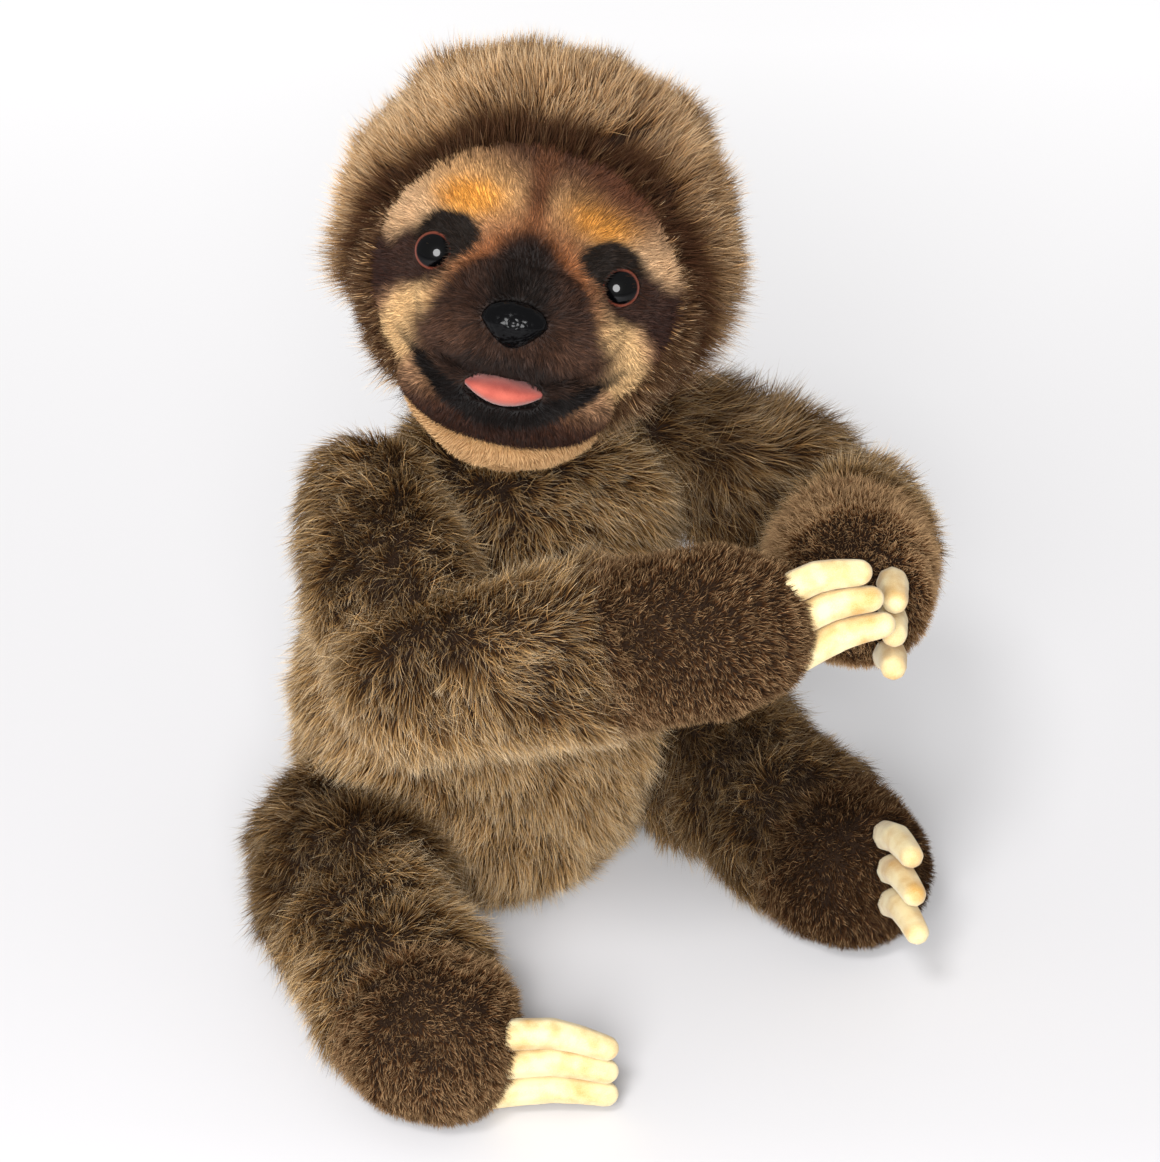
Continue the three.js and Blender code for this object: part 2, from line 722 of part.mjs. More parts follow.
const headSocket = ball(headPivot, NECK_BALL + PIVOT_GAP);
const neckRoom = ball(headPivot, NECK_BALL + PIVOT_GAP + GAP);
place(headGroup, 'head', faceBody('head', []).subtract(headSocket), LONG_PILE);
place(headGroup, 'face_mask', faceBody('mask', ['head']).subtract(neckRoom), FACE_PLUSH);
place(headGroup, 'muzzle', faceBody('muzzle', ['head', 'mask']), MUZZLE_PLUSH);
place(headGroup, 'tongue', faceBody('tongue', ['head', 'mask', 'muzzle']), TONGUE_FELT);
place(headGroup, 'lower_lip', faceBody('lip', ['head', 'mask', 'muzzle', 'tongue']), MUZZLE_PLUSH);
const bibBody = faceBody('bib', ['head', 'mask', 'lip']).subtract(neckRoom);
place(headGroup, 'throat_bib', bibBody, BIB_PLUSH);
for (const [name, eye] of Object.entries(eyes)) {
  place(headGroup, `eye_${name}`, eye.moulding, BLACK_PLASTIC);
  place(headGroup, `eye_washer_${name}`, eye.washer, WASHER_PLASTIC);
}
place(headGroup, 'nose', nose.moulding, BLACK_PLASTIC);
place(headGroup, 'nose_washer', nose.washer, WASHER_PLASTIC);

export default sloth;
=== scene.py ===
"""A sitting plush sloth: faux fur on stuffed limbs, a short plush face, felt claws, moulded eyes and nose.

Lengths in this script are millimetres until a mesh is made; the scene is in metres.
The sloth faces -Y, its own left is +X, and it sits on the floor at Z = 0.
"""
import json
import math

import bmesh
import bpy
import numpy as np
from mathutils import Euler, Matrix, Vector
from mathutils.bvhtree import BVHTree
from mathutils.kdtree import KDTree


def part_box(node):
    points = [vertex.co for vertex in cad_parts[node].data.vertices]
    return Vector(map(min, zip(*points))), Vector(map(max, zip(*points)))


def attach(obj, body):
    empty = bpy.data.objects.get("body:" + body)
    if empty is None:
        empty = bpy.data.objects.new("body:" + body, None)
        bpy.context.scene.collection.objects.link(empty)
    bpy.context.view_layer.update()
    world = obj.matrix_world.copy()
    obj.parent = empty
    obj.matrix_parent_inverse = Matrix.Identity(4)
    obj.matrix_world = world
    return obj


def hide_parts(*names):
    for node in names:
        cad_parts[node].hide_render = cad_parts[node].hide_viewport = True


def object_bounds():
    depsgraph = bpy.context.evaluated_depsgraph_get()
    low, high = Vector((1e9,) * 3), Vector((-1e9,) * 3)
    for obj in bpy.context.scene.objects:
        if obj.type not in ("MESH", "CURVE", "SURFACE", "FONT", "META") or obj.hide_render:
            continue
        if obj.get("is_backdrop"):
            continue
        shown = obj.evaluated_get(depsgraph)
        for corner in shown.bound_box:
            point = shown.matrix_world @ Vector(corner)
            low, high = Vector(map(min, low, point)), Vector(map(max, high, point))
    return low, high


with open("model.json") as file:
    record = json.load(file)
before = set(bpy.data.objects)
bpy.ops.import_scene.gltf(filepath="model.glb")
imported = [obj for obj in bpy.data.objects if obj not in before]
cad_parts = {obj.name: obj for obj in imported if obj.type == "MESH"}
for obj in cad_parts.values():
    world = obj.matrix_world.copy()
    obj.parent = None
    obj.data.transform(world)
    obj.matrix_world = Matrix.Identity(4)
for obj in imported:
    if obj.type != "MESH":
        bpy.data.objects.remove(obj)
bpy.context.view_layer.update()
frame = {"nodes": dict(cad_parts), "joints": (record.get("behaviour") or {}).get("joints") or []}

MM = 0.001
NODES = frame["nodes"]
JOINTS = {joint["name"]: joint for joint in frame["joints"]}
SIDES = {"right": -1, "left": 1}
LIMBS = ("upper_arm", "forearm", "thigh", "shin")
PAW_LIMBS = (("hand", "forearm"), ("foot", "shin"))
DOWN = np.array([0, 0, -1.0])

# The head stands on top of the neck and is nodded, tilted and turned there, by these degrees.
HEAD_HALF = 54
HEAD_NOD, HEAD_TILT, HEAD_TURN = -16, 10, -38
HEAD_TURNED = Euler((math.radians(HEAD_NOD), 0, 0)).to_matrix() @ Euler((0, math.radians(HEAD_TILT), 0)).to_matrix()
HEAD_TURNED = Euler((0, 0, math.radians(HEAD_TURN))).to_matrix() @ HEAD_TURNED

EYE_SPACING, EYE_FORWARD, EYE_DROP = 57, 52, 1.5
EYE_SPLAY, EYE_LIFT = 8, 9  # degrees
EYE_RADIUS, EYE_HALF_DEPTH = 6, 3.6
NOSE_FORWARD, NOSE_DROP = 75, 14.5
NOSE_HALF = (10, 5.4, 7.1)


def joint_at(name):
    return np.array(JOINTS[name]["pos_m"]) / MM


HEAD_AXES = np.array(HEAD_TURNED)
HEAD_MIDDLE = joint_at("head_nod") + HEAD_AXES @ np.array([0, 0, HEAD_HALF])


def in_head(points):
    """Points in mm as the head has them: to its left, behind and above its middle."""
    return (points - HEAD_MIDDLE) @ HEAD_AXES


# ---------------------------------------------------------------- materials


def linear(code):
    """An sRGB hex colour as linear red, green, blue and a full alpha."""
    parts = [int(code[i : i + 2], 16) / 255 for i in (1, 3, 5)]
    return [c / 12.92 if c <= 0.04045 else ((c + 0.055) / 1.055) ** 2.4 for c in parts] + [1.0]


def add_node(tree, kind, inputs=None, **settings):
    """Adds a node with its settings, and fills its inputs with values or links."""
    made = tree.nodes.new(kind)
    for name, value in settings.items():
        setattr(made, name, value)
    for socket, value in (inputs or {}).items():
        if isinstance(value, bpy.types.NodeSocket):
            tree.links.new(value, made.inputs[socket])
        else:
            made.inputs[socket].default_value = value
    return made


def new_material(name):
    """An empty material with its Principled shader already on the output."""
    material = bpy.data.materials.new(name)
    material.use_nodes = True
    tree = material.node_tree
    tree.nodes.clear()
    shader = add_node(tree, "ShaderNodeBsdfPrincipled")
    add_node(tree, "ShaderNodeOutputMaterial", {"Surface": shader.outputs[0]})
    return material, tree, shader


def ramp_of(tree, factor, stops):
    """A colour ramp through (place, hex) stops."""
    ramp = add_node(tree, "ShaderNodeValToRGB", {"Fac": factor})
    elements = ramp.color_ramp.elements
    while len(elements) < len(stops):
        elements.new(0.5)
    for element, (place, code) in zip(elements, stops):
        element.position = place
        element.color = linear(code)
    return ramp.outputs["Color"]


PILE_ROUGHNESS, PILE_SPECULAR = 0.65, 0.05


def pile_material(name, deep, pale):
    """Dyed pile. U is the tone of a hair, from deep to pale, and V runs from root to tip."""
    material, tree, shader = new_material(name)
    place = add_node(tree, "ShaderNodeUVMap", uv_map="OFBake")
    split = add_node(tree, "ShaderNodeSeparateXYZ", {0: place.outputs[0]})
    along = split.outputs["Y"]
    mixed = add_node(
        tree,
        "ShaderNodeMix",
        {"Factor": split.outputs["X"], "A": ramp_of(tree, along, deep), "B": ramp_of(tree, along, pale)},
        data_type="RGBA",
    )
    tree.links.new(mixed.outputs["Result"], shader.inputs["Base Color"])
    shader.inputs["Roughness"].default_value = PILE_ROUGHNESS
    shader.inputs["Specular IOR Level"].default_value = PILE_SPECULAR
    return material


LOOP_MM = 0.6


def cloth_material(name, code, darker):
    """Knitted backing cloth under the pile: dull, with fine loops."""
    material, tree, shader = new_material(name)
    place = add_node(tree, "ShaderNodeTexCoord")
    loops = add_node(
        tree,
        "ShaderNodeTexNoise",
        {"Vector": place.outputs["Object"], "Scale": 1 / (LOOP_MM * MM), "Detail": 3.0},
    )
    colour = ramp_of(tree, loops.outputs["Fac"], [(0.3, darker), (0.7, code)])
    tree.links.new(colour, shader.inputs["Base Color"])
    bump = add_node(tree, "ShaderNodeBump", {"Height": loops.outputs["Fac"], "Strength": 0.4, "Distance": 0.2 * MM})
    tree.links.new(bump.outputs[0], shader.inputs["Normal"])
    shader.inputs["Roughness"].default_value = 0.95
    shader.inputs["Specular IOR Level"].default_value = 0.2
    return material


# Modacrylic faux fur: dark olive-brown at the root and cream at the tip, so it looks frosted.
FUR = pile_material(
    "modacrylic_long_pile",
    [(0.0, "#0f0703"), (0.4, "#1e1007"), (0.75, "#301b0d"), (1.0, "#472b17")],
    [(0.0, "#3c2410"), (0.3, "#8a6035"), (0.65, "#cba46e"), (1.0, "#fbe8c6")],
)
# The hood is of the same fur in a slightly redder shade.
HOOD_FUR = pile_material(
    "modacrylic_hood_pile",
    [(0.0, "#0f0603"), (0.4, "#1f0f07"), (0.75, "#321a0d"), (1.0, "#4a2a17")],
    [(0.0, "#3c2312"), (0.3, "#8b623b"), (0.65, "#c79d6e"), (1.0, "#f5dab2")],
)
# Short-cut faux fur on the paws: chocolate brown with lighter ends, close and velvety.
PAW_FUR = pile_material(
    "modacrylic_short_pile",
    [(0.0, "#120904"), (0.5, "#2b190b"), (1.0, "#3f2714")],
    [(0.0, "#2c1a0b"), (0.45, "#684529"), (0.85, "#bd9b72")],
)
BACKING = cloth_material("knitted_backing_brown", "#2b1c10", "#180e07")
TAN_BACKING = cloth_material("knitted_backing_tan", "#b08a5e", "#8a683f")

# The face as it is dyed and airbrushed, with some painted shade and a painted highlight among the marks,
# in millimetres of the face seen from its front: distance from the middle line, up from the middle of the head,
# half sizes, turn in degrees, softness of the edge as a share of the size, and colour. Later marks lie over earlier
# ones.
# A bowed mark also rises towards the cheeks, by BOW mm for each square mm from the middle.
FACE_GROUND = "#cfa077"
# Single hairs take the dye darker or lighter: these are the darkest, the middle and the lightest.
HAIR_SHADES = (0.6, 0.9, 1.2)
BOW = 14 / 32**2
# The edges of the patches wander by so many mm.
WANDER = 3.2
FACE_MARKS = [
    # pale brow, and orange on it
    (37, 11, 19, 14, -35, 1.0, "#e0b88c"),
    (17, 19, 15, 10, 0, 1.3, "#d6a56c"),
    (20, 16, 9.5, 4.8, -10, 1.2, "#f0a84a"),
    # cream cheek, brown outer cheek, brown chin
    (33.5, -26, 21, 7.2, -68, 0.8, "#edc48c"),
    (53, -24, 12, 25, 8, 0.7, "#4c2d1e"),
    (0, -56, 44, 19, 0, 0.6, "#5a3722"),
]
# The face's rim is darker outside an ellipse: partly airbrushed dye, partly painted shade where the hood overhangs
# it.
FACE_RIM_DYE_AND_SHADE = (0, -8, 52.5, 42, 0, 0.36, "#3b2014")
FACE_MARKS_OVER = [
    # brown at the top, partly dye and partly painted shade under the hood; brown down the middle and round the muzzle
    (0, 36, 22, 12, 0, 1.4, "#4f2f1d"),
    (0, 22, 3.6, 18, 0, 1.6, "#6c4329"),
    (0, -6, 23, 20, 0, 0.8, "#94582f"),
    # round the eyes
    (45.5, -11.5, 12.5, 8.5, -36, 0.7, "#341c13"),
    (32, -4, 11, 8.2, -25, 0.6, "#39231a"),
    (24.5, 4.5, 10, 6.8, -14, 0.35, "#20160f"),
    # under the lip, then the muzzle from its bridge down
    (0, -51, 26, 9, 0, 0.9, "#331809"),
    (0, -2, 9.5, 11.5, 0, 0.75, "#24150d"),
    (12.5, -11, 16, 9, -53, 0.4, "#3f281c"),
    (0, -27, 28.5, 15.5, 0, 0.35, "#462f23"),
    # painted highlight: lighter brown on the sides of the muzzle
    (21, -24, 10, 8, -30, 1.3, "#573b2b"),
    (0, 2, 7, 7, 0, 1.3, "#20110a"),
    (0, -7, 10, 9, 0, 1.0, "#1d120c"),
    (0, -31, 22, 7, 0, 1.0, "#281a13"),
]
# Darker brown on the forehead, on its left only: partly dye, partly painted shade on the side away from the lamps.
FOREHEAD_SHADE = (26, 31, 27, 15, -25, 1.1, "#693f28")
LIP_BAND = (0, -43.8, 33.5, 4.1, 0, 0.4, "#150d0a")


def face_material(name, low, span, mottled):
    """Short plush dyed in patches with an airbrush, some of them painted shade and a painted highlight, so that every
    patch has a soft, hairy edge.

    U holds the place across a box of the face once for each brightness of hair, and V the place up it.
    The muzzle and lip are also mottled.
    """
    material, tree, shader = new_material(name)
    place = add_node(tree, "ShaderNodeUVMap", uv_map="OFBake")
    held = add_node(tree, "ShaderNodeSeparateXYZ", {0: place.outputs[0]})
    repeated = add_node(
        tree, "ShaderNodeMath", {0: held.outputs["X"], 1: float(len(HAIR_SHADES))}, operation="MULTIPLY"
    )
    once = add_node(tree, "ShaderNodeMath", {0: repeated.outputs[0]}, operation="FRACT")
    own = add_node(tree, "ShaderNodeCombineXYZ", {"X": once.outputs[0], "Y": held.outputs["Y"]})
    centred = add_node(
        tree,
        "ShaderNodeMapping",
        {"Vector": own.outputs[0], "Location": (low[0], low[1], 0), "Scale": (span[0], span[1], 1)},
    )
    wander = add_node(
        tree, "ShaderNodeTexNoise", {"Vector": centred.outputs[0], "Scale": 0.45, "Detail": 3.0, "Roughness": 0.7}
    )
    strayed = add_node(
        tree,
        "ShaderNodeVectorMath",
        {0: wander.outputs["Color"], 1: (WANDER, WANDER, 0), 2: centred.outputs[0]},
        operation="MULTIPLY_ADD",
    )
    shifted = add_node(
        tree, "ShaderNodeVectorMath", {0: strayed.outputs[0], 1: (WANDER / 2, WANDER / 2, 0)}, operation="SUBTRACT"
    )
    split = add_node(tree, "ShaderNodeSeparateXYZ", {0: shifted.outputs[0]})
    across = add_node(tree, "ShaderNodeMath", {0: split.outputs["X"]}, operation="ABSOLUTE")
    folded = add_node(tree, "ShaderNodeCombineXYZ", {"X": across.outputs[0], "Y": split.outputs["Y"]})
    square = add_node(tree, "ShaderNodeMath", {0: across.outputs[0], 1: across.outputs[0]}, operation="MULTIPLY")
    sunk = add_node(
        tree, "ShaderNodeMath", {0: square.outputs[0], 1: -BOW, 2: split.outputs["Y"]}, operation="MULTIPLY_ADD"
    )
    bowed = add_node(tree, "ShaderNodeCombineXYZ", {"X": across.outputs[0], "Y": sunk.outputs[0]})

    def marked(under, mark, where, inside=True):
        x, z, half_x, half_z, turn, soft, code = mark
        near = add_node(
            tree,
            "ShaderNodeMapping",
            {
                "Vector": where,
                "Location": (x, z, 0),
                "Rotation": (0, 0, math.radians(turn)),
                "Scale": (half_x, half_z, 1),
            },
            vector_type="TEXTURE",
        )
        far = add_node(tree, "ShaderNodeVectorMath", {0: near.outputs[0]}, operation="LENGTH")
        cover = add_node(
            tree,
            "ShaderNodeMapRange",
            {
                "Value": far.outputs["Value"],
                "From Min": 1 - soft / 2,
                "From Max": 1 + soft / 2,
                "To Min": float(inside),
                "To Max": float(not inside),
            },
            interpolation_type="SMOOTHSTEP",
        )
        mixed = add_node(
            tree, "ShaderNodeMix", {"Factor": cover.outputs[0], "A": under, "B": linear(code)}, data_type="RGBA"
        )
        return mixed.outputs["Result"]

    colour = linear(FACE_GROUND)
    for mark in FACE_MARKS:
        colour = marked(colour, mark, folded.outputs[0])
    colour = marked(colour, FACE_RIM_DYE_AND_SHADE, folded.outputs[0], inside=False)
    colour = marked(colour, FOREHEAD_SHADE, shifted.outputs[0])
    for mark in FACE_MARKS_OVER:
        colour = marked(colour, mark, folded.outputs[0])
    colour = marked(colour, LIP_BAND, bowed.outputs[0])
    grain = add_node(
        tree,
        "ShaderNodeTexNoise",
        {"Vector": centred.outputs[0], "Scale": 0.6 if mottled else 1.3, "Detail": 5.0, "Roughness": 0.75},
    )
    stops = [(0.36, "#7a6f68"), (0.6, "#ffffff")] if mottled else [(0.3, "#8f857c"), (0.6, "#ffffff")]
    shade = ramp_of(tree, grain.outputs["Fac"], stops)
    dyed = add_node(
        tree, "ShaderNodeMix", {"Factor": 1.0, "A": colour, "B": shade}, data_type="RGBA", blend_type="MULTIPLY"
    )
    level = add_node(tree, "ShaderNodeMath", {0: repeated.outputs[0]}, operation="FLOOR")
    brightness = add_node(
        tree,
        "ShaderNodeMapRange",
        {
            "Value": level.outputs[0],
            "From Max": len(HAIR_SHADES) - 1.0,
            "To Min": HAIR_SHADES[0],
            "To Max": HAIR_SHADES[-1],
        },
    )
    shaded = add_node(
        tree,
        "ShaderNodeVectorMath",
        {0: dyed.outputs["Result"], "Scale": brightness.outputs[0]},
        operation="SCALE",
    )
    tree.links.new(shaded.outputs[0], shader.inputs["Base Color"])
    shader.inputs["Roughness"].default_value = 0.7
    shader.inputs["Specular IOR Level"].default_value = 0.25
    return material


BIB_PLUSH = pile_material(
    "tan_short_plush",
    [(0.0, "#6e4d30"), (1.0, "#a97c50")],
    [(0.0, "#b4824f"), (1.0, "#e0bd8e")],
)


FIBRE_MM, BLOTCH_MM = 0.35, 9


def felt_material(name, code, darker):
    """Pressed wool-mix felt: matt, with short matted fibres."""
    material, tree, shader = new_material(name)
    place = add_node(tree, "ShaderNodeTexCoord")
    fibres = add_node(
        tree,
        "ShaderNodeTexNoise",
        {"Vector": place.outputs["Object"], "Scale": 1 / (FIBRE_MM * MM), "Detail": 4.0, "Roughness": 0.7},
    )
    broad = add_node(
        tree,
        "ShaderNodeTexNoise",
        {"Vector": place.outputs["Object"], "Scale": 1 / (BLOTCH_MM * MM), "Detail": 2.0},
    )
    both = add_node(
        tree,
        "ShaderNodeMath",
        {0: fibres.outputs["Fac"], 1: 0.45, 2: broad.outputs["Fac"]},
        operation="MULTIPLY_ADD",
    )
    colour = ramp_of(tree, both.outputs[0], [(0.45, darker), (0.85, code)])
    tree.links.new(colour, shader.inputs["Base Color"])
    bump = add_node(tree, "ShaderNodeBump", {"Height": fibres.outputs["Fac"], "Strength": 0.5, "Distance": 0.25 * MM})
    tree.links.new(bump.outputs[0], shader.inputs["Normal"])
    shader.inputs["Roughness"].default_value = 0.9
    shader.inputs["Specular IOR Level"].default_value = 0.2
    shader.inputs["Sheen Weight"].default_value = 0.25
    return material


CLAW_FELT = felt_material("cream_wool_felt", "#e4d2a2", "#bf944f")
TONGUE_FELT = felt_material("salmon_felt", "#b35a4b", "#843630")


PEBBLE_MM = 1.9


def nose_material():
    """Soft vinyl moulded with a pebbled skin: black, with many small glints."""
    material, tree, shader = new_material("pebbled_black_vinyl")
    place = add_node(tree, "ShaderNodeTexCoord")
    pebbles = add_node(
        tree, "ShaderNodeTexVoronoi", {"Vector": place.outputs["Object"], "Scale": 1 / (PEBBLE_MM * MM)}
    )
    bump = add_node(
        tree,
        "ShaderNodeBump",
        {"Height": pebbles.outputs["Distance"], "Strength": 0.7, "Distance": 0.5 * MM},
        invert=True,
    )
    tree.links.new(bump.outputs[0], shader.inputs["Normal"])
    shader.inputs["Base Color"].default_value = linear("#050506")
    shader.inputs["Roughness"].default_value = 0.2
    shader.inputs["Specular IOR Level"].default_value = 0.11
    return material


NOSE_VINYL = nose_material()


def eye_material(name, middle, turned):
    """An acrylic dome over a painted disc: black pupil, a thin red-brown iris at the rim."""
    material, tree, shader = new_material(name)
    place = add_node(tree, "ShaderNodeTexCoord")
    own = add_node(
        tree,
        "ShaderNodeMapping",
        {"Vector": place.outputs["Object"], "Location": middle, "Rotation": turned, "Scale": (MM, MM, MM)},
        vector_type="TEXTURE",
    )
    flat = add_node(tree, "ShaderNodeVectorMath", {0: own.outputs[0], 1: (1, 0, 1)}, operation="MULTIPLY")
    radius = add_node(tree, "ShaderNodeVectorMath", {0: flat.outputs[0]}, operation="LENGTH")
    share = add_node(
        tree, "ShaderNodeMath", {0: radius.outputs["Value"], 1: float(EYE_RADIUS)}, operation="DIVIDE"
    )
    stops = [(0.0, "#010101"), (0.81, "#020203"), (0.85, "#57291e"), (0.94, "#7c4436"), (0.98, "#2c140e")]
    tree.links.new(ramp_of(tree, share.outputs[0], stops), shader.inputs["Base Color"])
    shader.inputs["Roughness"].default_value = 0.3
    shader.inputs["Specular IOR Level"].default_value = 0.02
    shader.inputs["Coat Weight"].default_value = 0.4
    shader.inputs["Coat Roughness"].default_value = 0.02
    return material


def plain_material(name, code, roughness, metallic=0.0):
    """A moulded or drawn part that is seen only inside the stuffing."""
    material, tree, shader = new_material(name)
    place = add_node(tree, "ShaderNodeTexCoord")
    mottle = add_node(tree, "ShaderNodeTexNoise", {"Vector": place.outputs["Object"], "Scale": 1 / (2 * MM)})
    spread = add_node(
        tree,
        "ShaderNodeMapRange",
        {"Value": mottle.outputs["Fac"], "To Min": roughness - 0.08, "To Max": roughness + 0.08},
    )
    tree.links.new(spread.outputs[0], shader.inputs["Roughness"])
    shader.inputs["Base Color"].default_value = linear(code)
    shader.inputs["Metallic"].default_value = metallic
    return material


WIRE_STEEL = plain_material("annealed_steel_wire", "#9a9c9e", 0.4, 1.0)
WASHER_NYLON = plain_material("natural_nylon", "#e8e6df", 0.5)

# ---------------------------------------------------------------- skins


def object_of(name, shape):
    """Puts a bmesh in the scene as an object."""
    mesh = bpy.data.meshes.new(name)
    shape.to_mesh(mesh)
    shape.free()
    piece = bpy.data.objects.new(name, mesh)
    bpy.context.scene.collection.objects.link(piece)
    return piece


def smooth_faces(mesh):
    mesh.polygons.foreach_set("use_smooth", [True] * len(mesh.polygons))


def finish_piece(piece, body, material):
    """Gives a piece its material, and the body that it moves with."""
    piece.data.materials.clear()
    piece.data.materials.append(material)
    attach(piece, body)


def skin_of(name, nodes, body, slot, material, voxel=2.0, smoothing=8, fill=0.85):
    """The stuffed shape of one or more CAD nodes, made smooth: it stands for those nodes."""
    shape = bmesh.new()
    for node_name in nodes:
        shape.from_mesh(NODES[node_name].data)
    bmesh.ops.remove_doubles(shape, verts=shape.verts, dist=0.01 * MM)
    piece = object_of(name, shape)
    rough = piece.data
    remesh = piece.modifiers.new("remesh", "REMESH")
    remesh.mode = "VOXEL"
    remesh.voxel_size = voxel * MM
    smooth = piece.modifiers.new("smooth", "SMOOTH")
    smooth.factor = 0.5
    smooth.iterations = smoothing
    settled = piece.evaluated_get(bpy.context.evaluated_depsgraph_get())
    finished = bpy.data.meshes.new_from_object(settled)
    piece.modifiers.clear()
    piece.data = finished
    bpy.data.meshes.remove(rough)
    finished.name = name
    smooth_faces(finished)
    finish_piece(piece, body, material)
    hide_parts(*nodes)
    return piece


def bend_up(piece, rise, taper, hinge=0.0, widen=1.0):
    """Bends a piece of the face into a crescent: its ends rise by so many mm, and taper by a share.

    It tapers towards a line that lies so many mm above its middle.
    """
    mesh = piece.data
    points = np.empty(len(mesh.vertices) * 3)
    mesh.vertices.foreach_get("co", points)
    own = in_head(points.reshape(-1, 3) / MM)
    out = (own[:, 0] / np.abs(own[:, 0]).max()) ** 2
    own[:, 0] *= widen
    middle = own[:, 2].mean() + hinge
    own[:, 2] = middle + (own[:, 2] - middle) * (1 - taper * out) + rise * out
    mesh.vertices.foreach_set("co", ((own @ HEAD_AXES.T + HEAD_MIDDLE) * MM).astype(np.float32).ravel())
    mesh.update()


SKINS = {}


def add_skin(name, nodes, body, slot, material, **settings):
    SKINS[name] = skin_of(name, nodes, body, slot, material, **settings)


add_skin("torso_skin", ["torso"], "torso", "long_pile_fur", BACKING, voxel=3.0)
add_skin("neck_skin", ["neck"], "neck", "long_pile_fur", BACKING)
add_skin("head_skin", ["head"], "head", "long_pile_fur", BACKING, voxel=2.8)
add_skin("mask_skin", ["face_mask"], "head", "face_plush", BACKING, voxel=1.5)
add_skin("muzzle_skin", ["muzzle"], "head", "muzzle_plush", BACKING, voxel=1.2, smoothing=10)
add_skin("lip_skin", ["lower_lip"], "head", "muzzle_plush", BACKING, voxel=1.2, smoothing=10)
add_skin("bib_skin", ["throat_bib"], "head", "bib_plush", TAN_BACKING, voxel=1.4)
add_skin("tongue_felt", ["tongue"], "head", "tongue_felt", TONGUE_FELT, voxel=0.8)
bend_up(SKINS["bib_skin"], 6, 0.4)
bend_up(SKINS["tongue_felt"], 1.0, 0.62, hinge=1.8, widen=1.06)
for side in SIDES:
    for limb in LIMBS:
        add_skin(f"{limb}_skin_{side}", [f"{limb}_{side}"], f"{limb}_{side}", "long_pile_fur", BACKING, voxel=2.4)
    for paw, limb in PAW_LIMBS:
        add_skin(f"{paw}_skin_{side}", [f"{paw}_{side}"], f"{limb}_{side}", "short_pile_paw", BACKING, voxel=2.0)
        for i in (1, 2, 3):
            claw = f"{paw}_claw_{side}_{i}"
            add_skin(f"{claw}_felt", [claw], f"{limb}_{side}", "claw_felt", CLAW_FELT, voxel=0.7, smoothing=6)

# ---------------------------------------------------------------- pile


def unit(vectors):
    return vectors / np.maximum(np.linalg.norm(vectors, axis=-1, keepdims=True), 1e-9)


def along_skin(vectors, normals):
    """The share of some vectors that lies in the skin."""
    return vectors - (vectors * normals).sum(axis=1, keepdims=True) * normals


def waves(points, size, seed):
    """A smooth, irregular vector field of about unit strength, with swells of a size in mm."""
    rng = np.random.default_rng(seed)
    total = np.zeros_like(points)
    for _ in range(5):
        ways = unit(rng.normal(size=(3, 3))) * (2 * np.pi / size) * rng.uniform(0.6, 1.5, (3, 1))
        total += np.sin(points @ ways.T + rng.uniform(0, 2 * np.pi, 3))
    return total / 1.6


def triangles_of(piece):
    """Corners and corner normals of a piece's triangles, in mm."""
    mesh = piece.data
    mesh.calc_loop_triangles()
    points = np.empty(len(mesh.vertices) * 3)
    mesh.vertices.foreach_get("co", points)
    normals = np.empty(len(mesh.vertices) * 3)
    mesh.vertices.foreach_get("normal", normals)
    index = np.empty(len(mesh.loop_triangles) * 3, dtype=np.int32)
    mesh.loop_triangles.foreach_get("vertices", index)
    index = index.reshape(-1, 3)
    return points.reshape(-1, 3)[index] / MM, normals.reshape(-1, 3)[index]


class Inside:
    """A closed shape that tells how deep points are inside it."""

    def __init__(self, piece):
        corners, _ = triangles_of(piece)
        flat = corners.reshape(-1, 3)
        self.low, self.high = flat.min(axis=0), flat.max(axis=0)
        self.tree = BVHTree.FromPolygons(flat.tolist(), np.arange(len(flat)).reshape(-1, 3).tolist())

    def deeper(self, points, depth):
        """Which points are deeper inside than a depth in mm."""
        near = ((points > self.low + depth) & (points < self.high - depth)).all(axis=1)
        for i in np.flatnonzero(near):
            place = Vector(points[i])
            nearest, normal, _, distance = self.tree.find_nearest(place)
            near[i] = (place - nearest).dot(normal) < 0 and distance > depth
        return near


INSIDES = {name: Inside(piece) for name, piece in SKINS.items()}
MOULDED = [Inside(NODES[name]) for name in ("eye_right", "eye_left", "nose")]


def open_triangles(piece, neighbours, reach, depth):
    """The triangles of a skin whose pile has room: just outside them, no neighbour is too deep."""
    corners, normals = triangles_of(piece)
    tests = corners.mean(axis=1) + unit(normals.mean(axis=1)) * reach
    keep = np.ones(len(corners), dtype=bool)
    for neighbour in neighbours:
        keep[keep] = ~neighbour.deeper(tests[keep], depth)
    return corners[keep], normals[keep]


def scatter(corners, normals, per_mm2, rng):
    """Roots spread evenly over triangles, with their normals."""
    edges = corners[:, 1:] - corners[:, :1]
    areas = np.linalg.norm(np.cross(edges[:, 0], edges[:, 1]), axis=1) / 2
    count = int(areas.sum() * per_mm2)
    chosen = np.searchsorted(np.cumsum(areas), (np.arange(count) + rng.random(count)) / count * areas.sum())
    chosen = np.minimum(chosen, len(areas) - 1)
    a, b = rng.random((2, count))
    over = a + b > 1
    a[over], b[over] = 1 - a[over], 1 - b[over]
    weights = np.stack([1 - a - b, a, b], axis=1)[:, :, None]
    return (corners[chosen] * weights).sum(axis=1), unit((normals[chosen] * weights).sum(axis=1))


